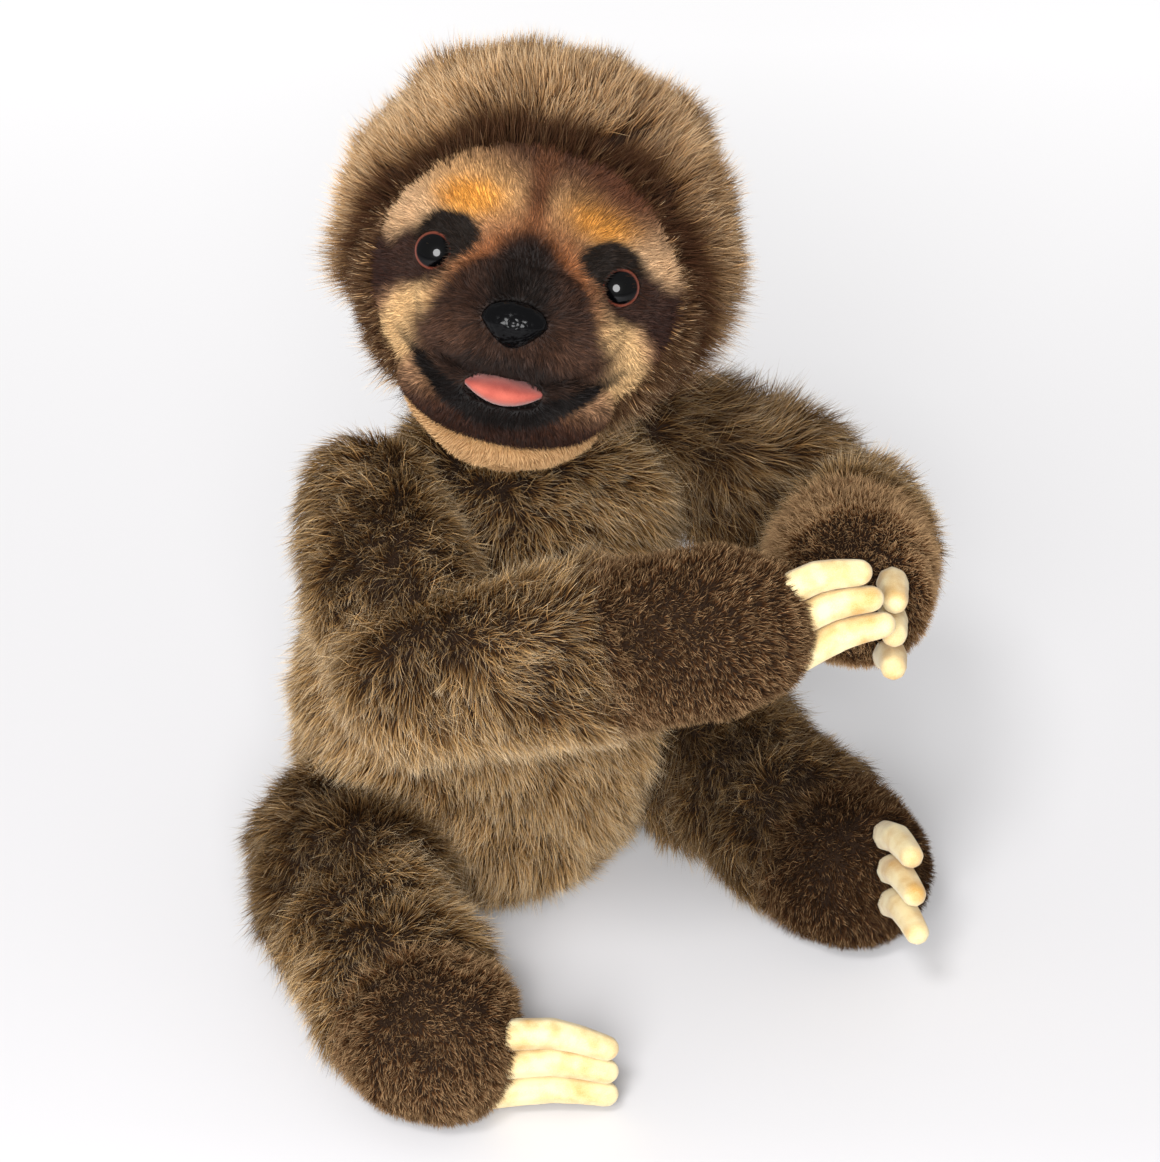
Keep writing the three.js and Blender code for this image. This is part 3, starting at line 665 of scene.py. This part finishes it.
def locks(roots, paths, lock_mm, hold, hairs, rng):
    """Draws the hairs of each lock together towards their ends: so many hairs follow one."""
    count = len(roots)
    leaders = rng.choice(count, max(1, count // hairs), replace=False)
    tree = KDTree(len(leaders))
    for i, leader in enumerate(leaders):
        tree.insert(roots[leader], i)
    tree.balance()
    followed = leaders[[tree.find(root)[1] for root in roots]]
    close = np.exp(-((np.linalg.norm(roots[followed] - roots, axis=1) / lock_mm) ** 2))
    strength = hold * close * rng.uniform(0.3, 1.0, count)
    shares = np.linspace(0, 1, paths.shape[1]) ** 1.2
    return paths + (paths[followed] - paths) * strength[:, None, None] * shares[None, :, None]


# No hair comes nearer to the floor than this, and hairs start so far inside the skin, in mm.
FLOOR_CLEAR, ROOT_DEPTH = 0.4, 0.3
STRANDS_PER_PIECE = 39000
# The waves in the lie of pile: broad swells and small eddies, in mm.
SWELL, EDDY = 26, 8
# How much a hair leans at its root, for each unit that it stands up: as combed, in an eddy, and at random.
ROOT_LEAN, ROOT_EDDY, ROOT_STRAY = 0.45, 0.15, 0.12


def hair_paths(roots, normals, way, rng, *, length, lift, swirl, stray=0.14, steps=3, seed=1):
    """Points along each hair: it leaves the cloth steeply and bends over to the way it is combed.

    Lift is how much its end still stands up, swirl how much the waves turn it, stray its own whim.
    """
    combed = unit(along_skin(way, normals))
    jitter = rng.normal(size=roots.shape)
    slow = waves(roots, SWELL, seed)
    quick = waves(roots, EDDY, seed + 1)
    start = unit(normals + combed * ROOT_LEAN + quick * ROOT_EDDY + jitter * ROOT_STRAY)
    end = unit(normals * lift + combed + slow * swirl + quick * swirl * 0.7 + jitter * stray)
    size = np.broadcast_to(length, len(roots)) * rng.uniform(0.72, 1.12, len(roots))
    shares = np.linspace(0, 1, steps + 1)[None, :, None]
    paths = roots[:, None] - normals[:, None] * ROOT_DEPTH
    bend = shares * start[:, None] + shares**2 / 2 * (end - start)[:, None]
    return paths + size[:, None, None] * bend


def ribbons(name, paths, normals, tones, width, body, material, rng):
    """Flat tapered hairs along their paths, in pieces small enough for the export."""
    count, points = paths.shape[:2]
    heading = unit(paths[:, -1] - paths[:, 0])
    across = unit(np.cross(heading, normals))
    upward = np.cross(across, heading)
    roll = rng.uniform(-1.2, 1.2, (count, 1))
    flat = across * np.cos(roll) + upward * np.sin(roll)
    # a hair is widest at two fifths of its length and ends in a point
    half = np.interp(np.linspace(0, 1, points)[:-1], [0, 0.4, 1], [0.9, 1.0, 0.25]) / 2
    half = half[None, :, None] * np.broadcast_to(width, count)[:, None, None] * flat[:, None]
    left, right = paths[:, :-1] - half, paths[:, :-1] + half
    vertices = np.concatenate([np.stack([left, right], axis=2).reshape(count, -1, 3), paths[:, -1:]], axis=1)
    vertices[:, :, 2] = np.maximum(vertices[:, :, 2], FLOOR_CLEAR)
    quads = [corner for k in range(points - 2) for corner in (2 * k, 2 * k + 1, 2 * k + 3, 2 * k + 2)]
    corner_of = np.array(quads + [2 * points - 4, 2 * points - 3, 2 * points - 2])
    sizes = np.array([4] * (points - 2) + [3])
    column = np.array([0.0, 1.0] * (points - 1) + [0.5])
    row = np.append(np.repeat(np.linspace(0, 1, points)[:-1], 2), 1.0)
    for part, first in enumerate(range(0, count, STRANDS_PER_PIECE)):
        some = slice(first, min(count, first + STRANDS_PER_PIECE))
        number = some.stop - some.start
        mesh = bpy.data.meshes.new(f"{name}_{part + 1}")
        mesh.vertices.add(number * vertices.shape[1])
        mesh.vertices.foreach_set("co", (vertices[some] * MM).astype(np.float32).ravel())
        loops = (np.arange(number)[:, None] * vertices.shape[1] + corner_of[None]).ravel()
        mesh.loops.add(len(loops))
        mesh.loops.foreach_set("vertex_index", loops.astype(np.int32))
        totals = np.tile(sizes, number)
        mesh.polygons.add(len(totals))
        mesh.polygons.foreach_set("loop_start", (np.cumsum(totals) - totals).astype(np.int32))
        uv = mesh.uv_layers.new(name="OFBake")
        u, v = tones(some, column, row)
        flat_uv = np.stack([u[:, corner_of], v[:, corner_of]], axis=-1)
        uv.data.foreach_set("uv", flat_uv.astype(np.float32).ravel())
        mesh.update(calc_edges=True)
        mesh.validate()
        piece = bpy.data.objects.new(mesh.name, mesh)
        bpy.context.scene.collection.objects.link(piece)
        finish_piece(piece, body, material)


def tone_map(tone):
    """Hair coordinates whose U is a tone and whose V is the place along the hair."""

    def mapped(some, column, row):
        u = np.clip(tone[some], 0.01, 0.985)[:, None] + column[None] * 0.006
        return u, np.broadcast_to(row, u.shape)

    return mapped


# Where each limb starts and where it ends, in mm.
LINE_OF = {}
for side in SIDES:
    LINE_OF[f"upper_arm_{side}"] = (joint_at(f"shoulder_{side}"), joint_at(f"elbow_{side}"))
    LINE_OF[f"thigh_{side}"] = (joint_at(f"hip_{side}"), joint_at(f"knee_{side}"))
    for (paw, limb), bend in zip(PAW_LIMBS, ("elbow", "knee")):
        low, high = (np.array(corner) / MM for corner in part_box(f"{paw}_{side}"))
        LINE_OF[f"{limb}_{side}"] = (joint_at(f"{bend}_{side}"), (low + high) / 2)

# The way that pile lies where a limb starts: it runs on from the piece before it.
START_WAY = {}
for side, sign in SIDES.items():
    START_WAY[f"upper_arm_{side}"] = np.array([sign * 1.4, -0.3, -0.5])
    START_WAY[f"thigh_{side}"] = np.array([sign * 0.9, -0.9, -0.5])
    for limb, before in (("forearm", "upper_arm"), ("shin", "thigh")):
        start, end = LINE_OF[f"{before}_{side}"]
        START_WAY[f"{limb}_{side}"] = unit(end - start)
# It turns into the way of its own limb over so many mm.
TURN_OVER = 44.0
HANG = 0.5


def comb_limb(part):
    """Pile on a limb lies towards the paw and hangs."""
    start, end = LINE_OF[part]
    along = unit(end - start)

    def comb(roots, normals):
        near = np.clip(1 - (roots - start) @ along / TURN_OVER, 0, 1)[:, None]
        return along * (1 - near) + START_WAY[part] * near + DOWN * HANG

    return comb


NAPE = joint_at("neck_turn") + np.array([0, 16.0, 0])
# Places on the head's own axes that pile lies away from.
FACE_FRONT = np.array([0, -62.0, -8.0])
NOSE_FRONT = np.array([0, -78.0, -10.0])


def comb_torso(roots, normals):
    """Pile on the torso falls, away from the nape on all sides."""
    out = (roots - NAPE) * np.array([1.0, 1.0, 0])
    return DOWN + 1.1 * out / (np.linalg.norm(out, axis=1, keepdims=True) + 12) + waves(roots, 70, 5) * 0.2


def comb_head(roots, normals):
    """Pile on the head stands away from the face all round, like a hood, and falls at the back."""
    own = in_head(roots)
    from_face = own - FACE_FRONT
    behind = np.clip(own[:, 1:2] / 40, 0, 1)
    return unit(from_face) @ HEAD_AXES.T + np.array([0, 0, 0.1]) + DOWN * behind


def neighbours_of(*names):
    """Everything stuffed but the named skins and the claws."""
    return [inside for name, inside in INSIDES.items() if name not in names and "claw" not in name]


THINNED = 1.0
# Each layer's hairs for each square mm, length as a share, hold of its locks, stray, tone as a share,
# share of hairs with a pale end, and thinnest and thickest hair in mm.
PILE_LAYERS = {
    "under": (0.92, 0.8, 0.55, 0.2, 0.62, 0.0, (0.22, 0.4)),
    "guard": (0.98, 1.0, 0.4, 0.42, 1.26, 0.14, (0.11, 0.2)),
}
LOCK_MM, LOCK_HAIRS = 1.8, 8
# Uneven length and tone: waves in mm and their strength, and the spread from hair to hair.
LENGTH_WAVE, LENGTH_SPREAD = 30, 0.14
TONE_WAVE, TONE_SPREAD, TONE_OF_HAIR = 22, 0.14, 0.48
FROST = 0.34


def long_pile(
    name, skin, body, comb, tone_of, length_of, *, seed, per_mm2=1.0, lift=0.55, buried=0.8, swirl=0.3, fur=FUR
):
    """A dense dark undercoat, and longer pale guard hairs that stray over it."""
    rng = np.random.default_rng(seed)
    corners, normals = open_triangles(SKINS[skin], neighbours_of(skin), 2.0, buried)
    for label, (count, long, hold, stray, paler, frosted, thickness) in PILE_LAYERS.items():
        roots, ups = scatter(corners, normals, count * per_mm2 * THINNED, rng)
        size = length_of(roots) * long * (1 + LENGTH_SPREAD * waves(roots, LENGTH_WAVE, seed + 7)[:, 0])
        paths = hair_paths(
            roots, ups, comb(roots, ups), rng, length=size, lift=lift, swirl=swirl, stray=stray, steps=2, seed=seed
        )
        paths = locks(roots, paths, LOCK_MM, hold, LOCK_HAIRS, rng)
        tone = tone_of(roots, ups) * paler
        uneven = waves(roots, TONE_WAVE, seed + 9)[:, 1] * TONE_SPREAD
        tone = tone * (1 + rng.normal(0, TONE_OF_HAIR, len(roots)) + uneven)
        # no frost where the pile is very dark
        tone = tone + FROST * (rng.random(len(roots)) < frosted) * np.clip(tone / 0.3, 0, 1)
        widths = rng.uniform(*thickness, len(roots)) / THINNED**0.5
        ribbons(f"{name}_{label}", paths, ups, tone_map(tone), widths, body, fur, rng)


# Short pile has room where no neighbour is deeper than OVERLAP mm at REACH mm above the skin.
REACH, OVERLAP = 1.0, 0.3


def bare_face():
    """The triangles of the face that neither the hood nor the lip covers."""
    return open_triangles(SKINS["mask_skin"], [INSIDES["head_skin"], INSIDES["lip_skin"]], REACH, OVERLAP)


def seam_distance(points):
    """How far points on the hood are from the part of the face that shows, in mm."""
    corners, _ = bare_face()
    middles = corners.mean(axis=1)
    tree = KDTree(len(middles))
    for i, middle in enumerate(middles):
        tree.insert(middle, i)
    tree.balance()
    return np.array([tree.find(point)[2] for point in points])


def rising(values, low, high):
    """0 up to a low value, 1 from a high value on, and even between them."""
    return np.clip((values - low) / (high - low), 0, 1)


def tone_and_painted_light_head(roots, normals):
    """Dark along the seam of the face and pale outward; painted light makes it palest on top and to its right, toward
    the lamps, and painted shade darker to its left.
    """
    gone = seam_distance(roots)
    tone = 0.02 + 0.34 * rising(gone, 2, 6) + 0.22 * rising(gone, 4, 15)
    left, _, up = in_head(roots).T
    # painted light on top and to its right, toward the lamps; painted shade to its left
    return tone * (1 - 0.36 * rising(left, 0, 45) + 0.16 * rising(-left, 0, 45)) * (1 + 0.2 * rising(up, 0, 45))


def length_head(roots):
    """Longer at the jaw, where the hood hangs."""
    return 14 * (1 + 0.45 * rising(-in_head(roots)[:, 2], 0, 25))


def tone_torso(roots, normals):
    """Paler from the waist down."""
    return 0.52 + 0.18 * rising(-roots[:, 2], -120, -70)


def even(length):
    """Pile of one length in mm."""
    return lambda roots: np.full(len(roots), length)


# The pile of each limb: tone from above, and length in mm. The left upper arm hangs shaggy.
LIMB_PILE = {
    "upper_arm_right": (0.39, 12),
    "forearm_right": (0.47, 12),
    "thigh_right": (0.26, 13),
    "shin_right": (0.56, 12),
    "upper_arm_left": (0.23, 17),
    "forearm_left": (0.54, 12),
    "thigh_left": (0.25, 13),
    # painted shade: the left shin is darker, as it lies in the shade of the left arm
    "shin_left": (0.27, 12),
}
# It fades into the pile of the paw over so many mm.
FADE = 18.0
PALER_BELOW = 0.16


def limb_end(limb, side):
    """Where a limb starts, the way it runs, and how far its skin goes that way, in mm."""
    start, end = LINE_OF[f"{limb}_{side}"]
    along = unit(end - start)
    return start, along, ((triangles_of(SKINS[f"{limb}_skin_{side}"])[0] - start) @ along).max()


def limb_shades(limb, side, level, length):
    """Pile that is paler below the limb, and fades into the short pile of the paw.

    There it is down to 0.58 of its tone and 0.88 of its length.
    """
    start, along, last = limb_end(limb, side)
    if limb in ("upper_arm", "thigh"):
        last += FADE

    def fade(roots):
        return np.clip((last - (roots - start) @ along) / FADE, 0, 1)

    def tone(roots, normals):
        return (level + PALER_BELOW * np.clip(-normals[:, 2], 0, 1)) * (0.58 + 0.42 * fade(roots))

    return tone, lambda roots: length * (0.88 + 0.12 * fade(roots))


long_pile("torso_pile", "torso_skin", "torso", comb_torso, tone_torso, even(13.5), seed=11, swirl=0.2)
long_pile(
    "head_pile",
    "head_skin",
    "head",
    comb_head,
    tone_and_painted_light_head,
    length_head,
    seed=12,
    per_mm2=1.2,
    lift=0.85,
    swirl=0.2,
    fur=HOOD_FUR,
)
# pile also grows inside the joints, so that none is bald when it opens
long_pile(
    "neck_pile",
    "neck_skin",
    "neck",
    comb_torso,
    tone_torso,
    even(7.0),
    seed=13,
    per_mm2=0.6,
    lift=0.4,
    buried=6.0,
)
for seed, (body, (level, length)) in enumerate(LIMB_PILE.items(), 20):
    limb, side = body.rsplit("_", 1)
    long_pile(
        f"{limb}_pile_{side}",
        f"{limb}_skin_{side}",
        body,
        comb_limb(body),
        *limb_shades(limb, side, level, length),
        seed=seed,
        lift=0.5,
        buried=7.0,
    )


# Unshorn pile is so many mm longer, and stands up and strays by so much.
UNSHORN_MM, UNSHORN_LIE = 6, 0.5
TUFT_MM, TUFT_HAIRS = 1.0, 6


def short_pile(
    name,
    skin,
    body,
    material,
    comb,
    tones,
    neighbours,
    *,
    seed,
    per_mm2,
    length,
    lift=0.5,
    stray=0.15,
    width=0.3,
    hold=0.0,
    unshorn=None,
):
    """Short, dense pile. Where a hold is given, its hairs stand in tufts.

    Unshorn is a function that tells how much of its long pile each root has kept, from 0 to 1.
    """
    rng = np.random.default_rng(seed)
    corners, normals = open_triangles(SKINS[skin], neighbours, REACH, OVERLAP)
    roots, ups = scatter(corners, normals, per_mm2 * THINNED, rng)
    way = comb(roots, ups)
    if unshorn:
        share = unshorn(roots)
        length = length + UNSHORN_MM * share
        lift, stray = (value + (UNSHORN_LIE - value) * share[:, None] for value in (lift, stray))
    paths = hair_paths(roots, ups, way, rng, length=length, lift=lift, swirl=0.3, stray=stray, steps=2, seed=seed)
    if hold:
        paths = locks(roots, paths, TUFT_MM, hold, TUFT_HAIRS, rng)
    widths = rng.uniform(0.7, 1.2, len(roots)) * width
    ribbons(name, paths, ups, tones(roots, ups, rng), widths, body, material, rng)


# The pile of each paw: tone, and how far it is unshorn from the seam with its limb, in mm.
PAW_PILE = {
    "hand_right": (0.28, 20.0),
    "foot_right": (0.46, 22.0),
    "hand_left": (0.95, 44.0),
    # painted shade: the left foot is darker, as it lies in the shade of the left arm
    "foot_left": (0.08, 24.0),
}
# The seam lies so many mm before the end of the limb's skin, which goes on inside the paw.
SEAM_BACK = 6
# Tone: spread from hair to hair, waves in mm and their strength, and how much paler it is at the seam.
PAW_SPREAD, PAW_WAVE, PAW_WAVE_TONE, PALER_AT_SEAM = 0.16, 3, 0.12, 0.22


def seam_share(limb, side, blend):
    """How near the pile of a paw is to its limb: from 1 at the seam down to 0."""
    start, along, last = limb_end(limb, side)
    return lambda roots: np.clip(1 - ((roots - start) @ along - last + SEAM_BACK) / blend, 0, 1)


def paw_tones(level, near):
    """Speckled: small tufts are darker or lighter, and some ends are pale."""

    def tones(roots, ups, rng):
        uneven = waves(roots, PAW_WAVE, 3)[:, 0] * PAW_WAVE_TONE
        tone = level + rng.normal(0, PAW_SPREAD, len(roots)) + uneven + PALER_AT_SEAM * near(roots)
        # one hair in eight has a pale end
        return tone_map(tone + 0.5 * (rng.random(len(roots)) > 0.88))

    return tones


for number, side in enumerate(SIDES):
    for paw, limb in PAW_LIMBS:
        level, blend = PAW_PILE[f"{paw}_{side}"]
        near_limb = seam_share(limb, side, blend)
        short_pile(
            f"{paw}_pile_{side}",
            f"{paw}_skin_{side}",
            f"{limb}_{side}",
            PAW_FUR,
            comb_limb(f"{limb}_{side}"),
            paw_tones(level, near_limb),
            neighbours_of(f"{paw}_skin_{side}"),
            seed=40 + 3 * number,
            per_mm2=3.0,
            length=4.4,
            lift=1.7,
            stray=1.1,
            width=0.26,
            hold=0.7,
            unshorn=near_limb,
        )


def face_box(piece):
    """The corner and size of a box round a piece of the face, seen from the face's front, in mm."""
    corners, _ = triangles_of(piece)
    own = in_head(corners.reshape(-1, 3))[:, [0, 2]]
    low, high = own.min(axis=0) - 1, own.max(axis=0) + 1
    return low, high - low


def face_place(points, box, level):
    """Places on the face as shares of a box, with U in the band of a brightness of hair."""
    low, span = box
    own = in_head(points)[..., [0, 2]]
    # just inside the band, so that no hair takes a colour from the next one
    shares = np.clip((own - low) / span, 0.003, 0.997)
    shares[..., 0] = (shares[..., 0] + level) / len(HAIR_SHADES)
    return shares


def face_tones(box):
    """Each hair takes the dye of the place where it grows, a little darker or lighter."""

    def tones(roots, ups, rng):
        place = face_place(roots, box, rng.choice(len(HAIR_SHADES), len(roots), p=(0.3, 0.4, 0.3)))

        def mapped(some, column, row):
            u = place[some, :1] + column[None] * 0.0008
            v = place[some, 1:] + row[None] * 0.002
            return u, v

        return mapped

    return tones


def dye_skin(piece, box):
    """Gives a skin of the face the same coordinates as its pile, in the darkest shade."""
    mesh = piece.data
    points = np.empty(len(mesh.vertices) * 3)
    mesh.vertices.foreach_get("co", points)
    loops = np.empty(len(mesh.loops), dtype=np.int32)
    mesh.loops.foreach_get("vertex_index", loops)
    layer = mesh.uv_layers.new(name="OFBake")
    layer.data.foreach_set("uv", face_place(points.reshape(-1, 3) / MM, box, 0)[loops].astype(np.float32).ravel())


def comb_face(roots, normals):
    """Pile on the face lies away from the nose."""
    return unit(in_head(roots) - NOSE_FRONT) @ HEAD_AXES.T


for number, (name, length) in enumerate((("mask", 3.0), ("muzzle", 3.4), ("lip", 3.0))):
    skin = f"{name}_skin"
    box = face_box(SKINS[skin])
    plush = face_material(f"airbrushed_short_plush_{name}", *box, name != "mask")
    SKINS[skin].data.materials[0] = plush
    dye_skin(SKINS[skin], box)
    near = [INSIDES[f"{other}_skin"] for other in ("mask", "muzzle", "lip", "head") if other != name]
    short_pile(
        f"{name}_pile",
        skin,
        "head",
        plush,
        comb_face,
        face_tones(box),
        near + MOULDED + [INSIDES["tongue_felt"]],
        seed=60 + number,
        per_mm2=5.0,
        length=length,
        width=0.24,
    )


# Half sizes of the face inside the hood, how far its middle lies below the head's, where its
# rim starts as a share of them, and how far down the rim goes.
RIM_HALF, RIM_DROP = (50.5, 47), 8.5
RIM_START, RIM_LOWEST = 0.9, -42


def outward(own):
    """How far out places on the face are: 1 at the seam with the hood."""
    return np.hypot(own[:, 0] / RIM_HALF[0], (own[:, 2] + RIM_DROP) / RIM_HALF[1])


def rim_pile():
    """The hood's dark inner hairs: they stand up round the seam of the face and lean off it."""
    rng = np.random.default_rng(80)
    corners, normals = bare_face()
    own = in_head(corners.mean(axis=1))
    seam = (outward(own) > RIM_START) & (own[:, 2] > RIM_LOWEST)
    roots, ups = scatter(corners[seam], normals[seam], 3.0 * THINNED, rng)
    share = rising(outward(in_head(roots)), RIM_START, 1)
    paths = hair_paths(roots, ups, comb_face(roots, ups), rng, length=4 + 7 * share, lift=0.9, swirl=0.25, seed=81)
    # nearly all are dark, and a few are pale
    tone = 0.01 + 0.1 * rng.random(len(roots)) + 0.85 * rng.random(len(roots)) ** 14
    widths = rng.uniform(0.16, 0.3, len(roots)) / THINNED**0.5
    ribbons("rim_pile", paths, ups, tone_map(tone), widths, "head", HOOD_FUR, rng)


rim_pile()


def bib_tones(roots, ups, rng):
    return tone_map(0.55 + rng.normal(0, 0.18, len(roots)))


short_pile(
    "bib_pile",
    "bib_skin",
    "head",
    BIB_PLUSH,
    comb_face,
    bib_tones,
    [INSIDES[name] for name in ("mask_skin", "lip_skin", "head_skin", "torso_skin")],
    seed=70,
    per_mm2=4.5,
    length=3.0,
    width=0.26,
)

# ---------------------------------------------------------------- eyes and nose


def head_place(x, y, z):
    """A place on the head's own axes, given in mm, in the scene."""
    return Vector(HEAD_MIDDLE + HEAD_AXES @ np.array([x, y, z])) * MM


for side, sign in SIDES.items():
    turned = HEAD_TURNED.to_4x4() @ Matrix.Rotation(sign * math.radians(EYE_SPLAY), 4, "Z")
    turned = turned @ Matrix.Rotation(-math.radians(EYE_LIFT), 4, "X")
    middle = head_place(sign * EYE_SPACING / 2, -EYE_FORWARD, -EYE_DROP)
    shape = bmesh.new()
    bmesh.ops.create_uvsphere(shape, u_segments=48, v_segments=24, radius=1)
    # the dome's own forward is -Y
    bmesh.ops.scale(shape, vec=(EYE_RADIUS * MM, EYE_HALF_DEPTH * MM, EYE_RADIUS * MM), verts=shape.verts)
    bmesh.ops.transform(shape, matrix=Matrix.Translation(middle) @ turned, verts=shape.verts)
    eye = object_of(f"eye_dome_{side}", shape)
    smooth_faces(eye.data)
    finish_piece(eye, "head", eye_material(f"acrylic_eye_{side}", middle, turned.to_euler()))
    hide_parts(f"eye_{side}")

shape = bmesh.new()
bmesh.ops.create_uvsphere(shape, u_segments=64, v_segments=40, radius=1)
for vertex in shape.verts:
    # a rounded triangle: full above, drawn in below, with a flatter front
    below = max(0.0, -vertex.co.z)
    vertex.co.x *= 1 - 0.42 * below
    vertex.co.y *= 1 - 0.25 * below
    vertex.co.z += 0.1 * vertex.co.x**2
bmesh.ops.scale(shape, vec=[half * MM for half in NOSE_HALF], verts=shape.verts)
placed = Matrix.Translation(head_place(0, -NOSE_FORWARD, -NOSE_DROP)) @ HEAD_TURNED.to_4x4()
bmesh.ops.transform(shape, matrix=placed, verts=shape.verts)
nose = object_of("nose_pebbled", shape)
smooth_faces(nose.data)
finish_piece(nose, "head", NOSE_VINYL)
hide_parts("nose")

for name, cad in NODES.items():
    if "wire" in name or "washer" in name:
        cad.data.materials.clear()
        cad.data.materials.append(WIRE_STEEL if "wire" in name else WASHER_NYLON)

# ---------------------------------------------------------------- floor, light and camera

# The camera's level direction: it stands 35 degrees to the sloth's right.
CAMERA_WAY = (0.574, 0.819, 0)

shape = bmesh.new()
bmesh.ops.create_grid(shape, x_segments=1, y_segments=1, size=6)
floor = object_of("studio_floor", shape)
# White paper. The camera sees it brighter the farther off it lies, as in the photo, but it
# throws no more light there.
material, tree, shader = new_material("pale_paper_floor")
seen = add_node(tree, "ShaderNodeLightPath")
place = add_node(tree, "ShaderNodeTexCoord")
away = add_node(
    tree, "ShaderNodeVectorMath", {0: place.outputs["Object"], 1: CAMERA_WAY}, operation="DOT_PRODUCT"
)
glow = add_node(
    tree,
    "ShaderNodeMapRange",
    {"Value": away.outputs["Value"], "From Min": -0.15, "From Max": 0.75, "To Min": 0.0, "To Max": 0.5},
)
direct = add_node(
    tree, "ShaderNodeMath", {0: seen.outputs["Is Camera Ray"], 1: seen.outputs["Is Glossy Ray"]}, operation="MAXIMUM"
)
shown = add_node(
    tree, "ShaderNodeMath", {0: direct.outputs[0], 1: seen.outputs["Is Transmission Ray"]}, operation="MAXIMUM"
)
lit = add_node(tree, "ShaderNodeMath", {0: shown.outputs[0], 1: glow.outputs[0]}, operation="MULTIPLY")
tree.links.new(lit.outputs[0], shader.inputs["Emission Strength"])
shader.inputs["Emission Color"].default_value = linear("#ffffff")
shader.inputs["Base Color"].default_value = linear("#d6d5d7")
shader.inputs["Roughness"].default_value = 0.8
shader.inputs["Specular IOR Level"].default_value = 0.1
floor.data.materials.append(material)
floor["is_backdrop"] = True

world = bpy.data.worlds.new("studio")
world.use_nodes = True
bpy.context.scene.world = world
world.node_tree.nodes["Background"].inputs["Color"].default_value = linear("#fffefd")
world.node_tree.nodes["Background"].inputs["Strength"].default_value = 0.51


def softbox(name, place, aim, size, watts):
    """A round lamp of a size in metres, turned to a place."""
    light = bpy.data.lights.new(name, "AREA")
    light.shape = "DISK"
    light.size = size
    light.energy = watts
    lamp = bpy.data.objects.new(name, light)
    lamp.location = place
    lamp.rotation_euler = (Vector(aim) - Vector(place)).to_track_quat("-Z", "Y").to_euler()
    bpy.context.scene.collection.objects.link(lamp)
    return lamp


# only the dish shows as a highlight in the eyes
softbox("key_softbox", (-1.05, -0.85, 1.65), (0, -0.05, 0.14), 0.45, 17.5).visible_glossy = False
softbox("front_beauty_dish", (-0.62, -0.8, 0.59), (0, -0.05, 0.18), 0.48, 14.5)

# 35 degrees to the sloth's right, and looking down by 31, as in the photo
camera = bpy.data.objects.new("camera", bpy.data.cameras.new("camera"))
camera.location = (-0.5249, -0.8053, 0.6864)
camera.rotation_euler = (math.radians(59), 0, math.radians(-35))
camera.data.lens = 103.13
camera.data.sensor_width = 36
camera.data.sensor_fit = "HORIZONTAL"
bpy.context.scene.collection.objects.link(camera)
bpy.context.scene.camera = camera
bpy.context.scene.view_settings.view_transform = "Standard"

low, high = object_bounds()
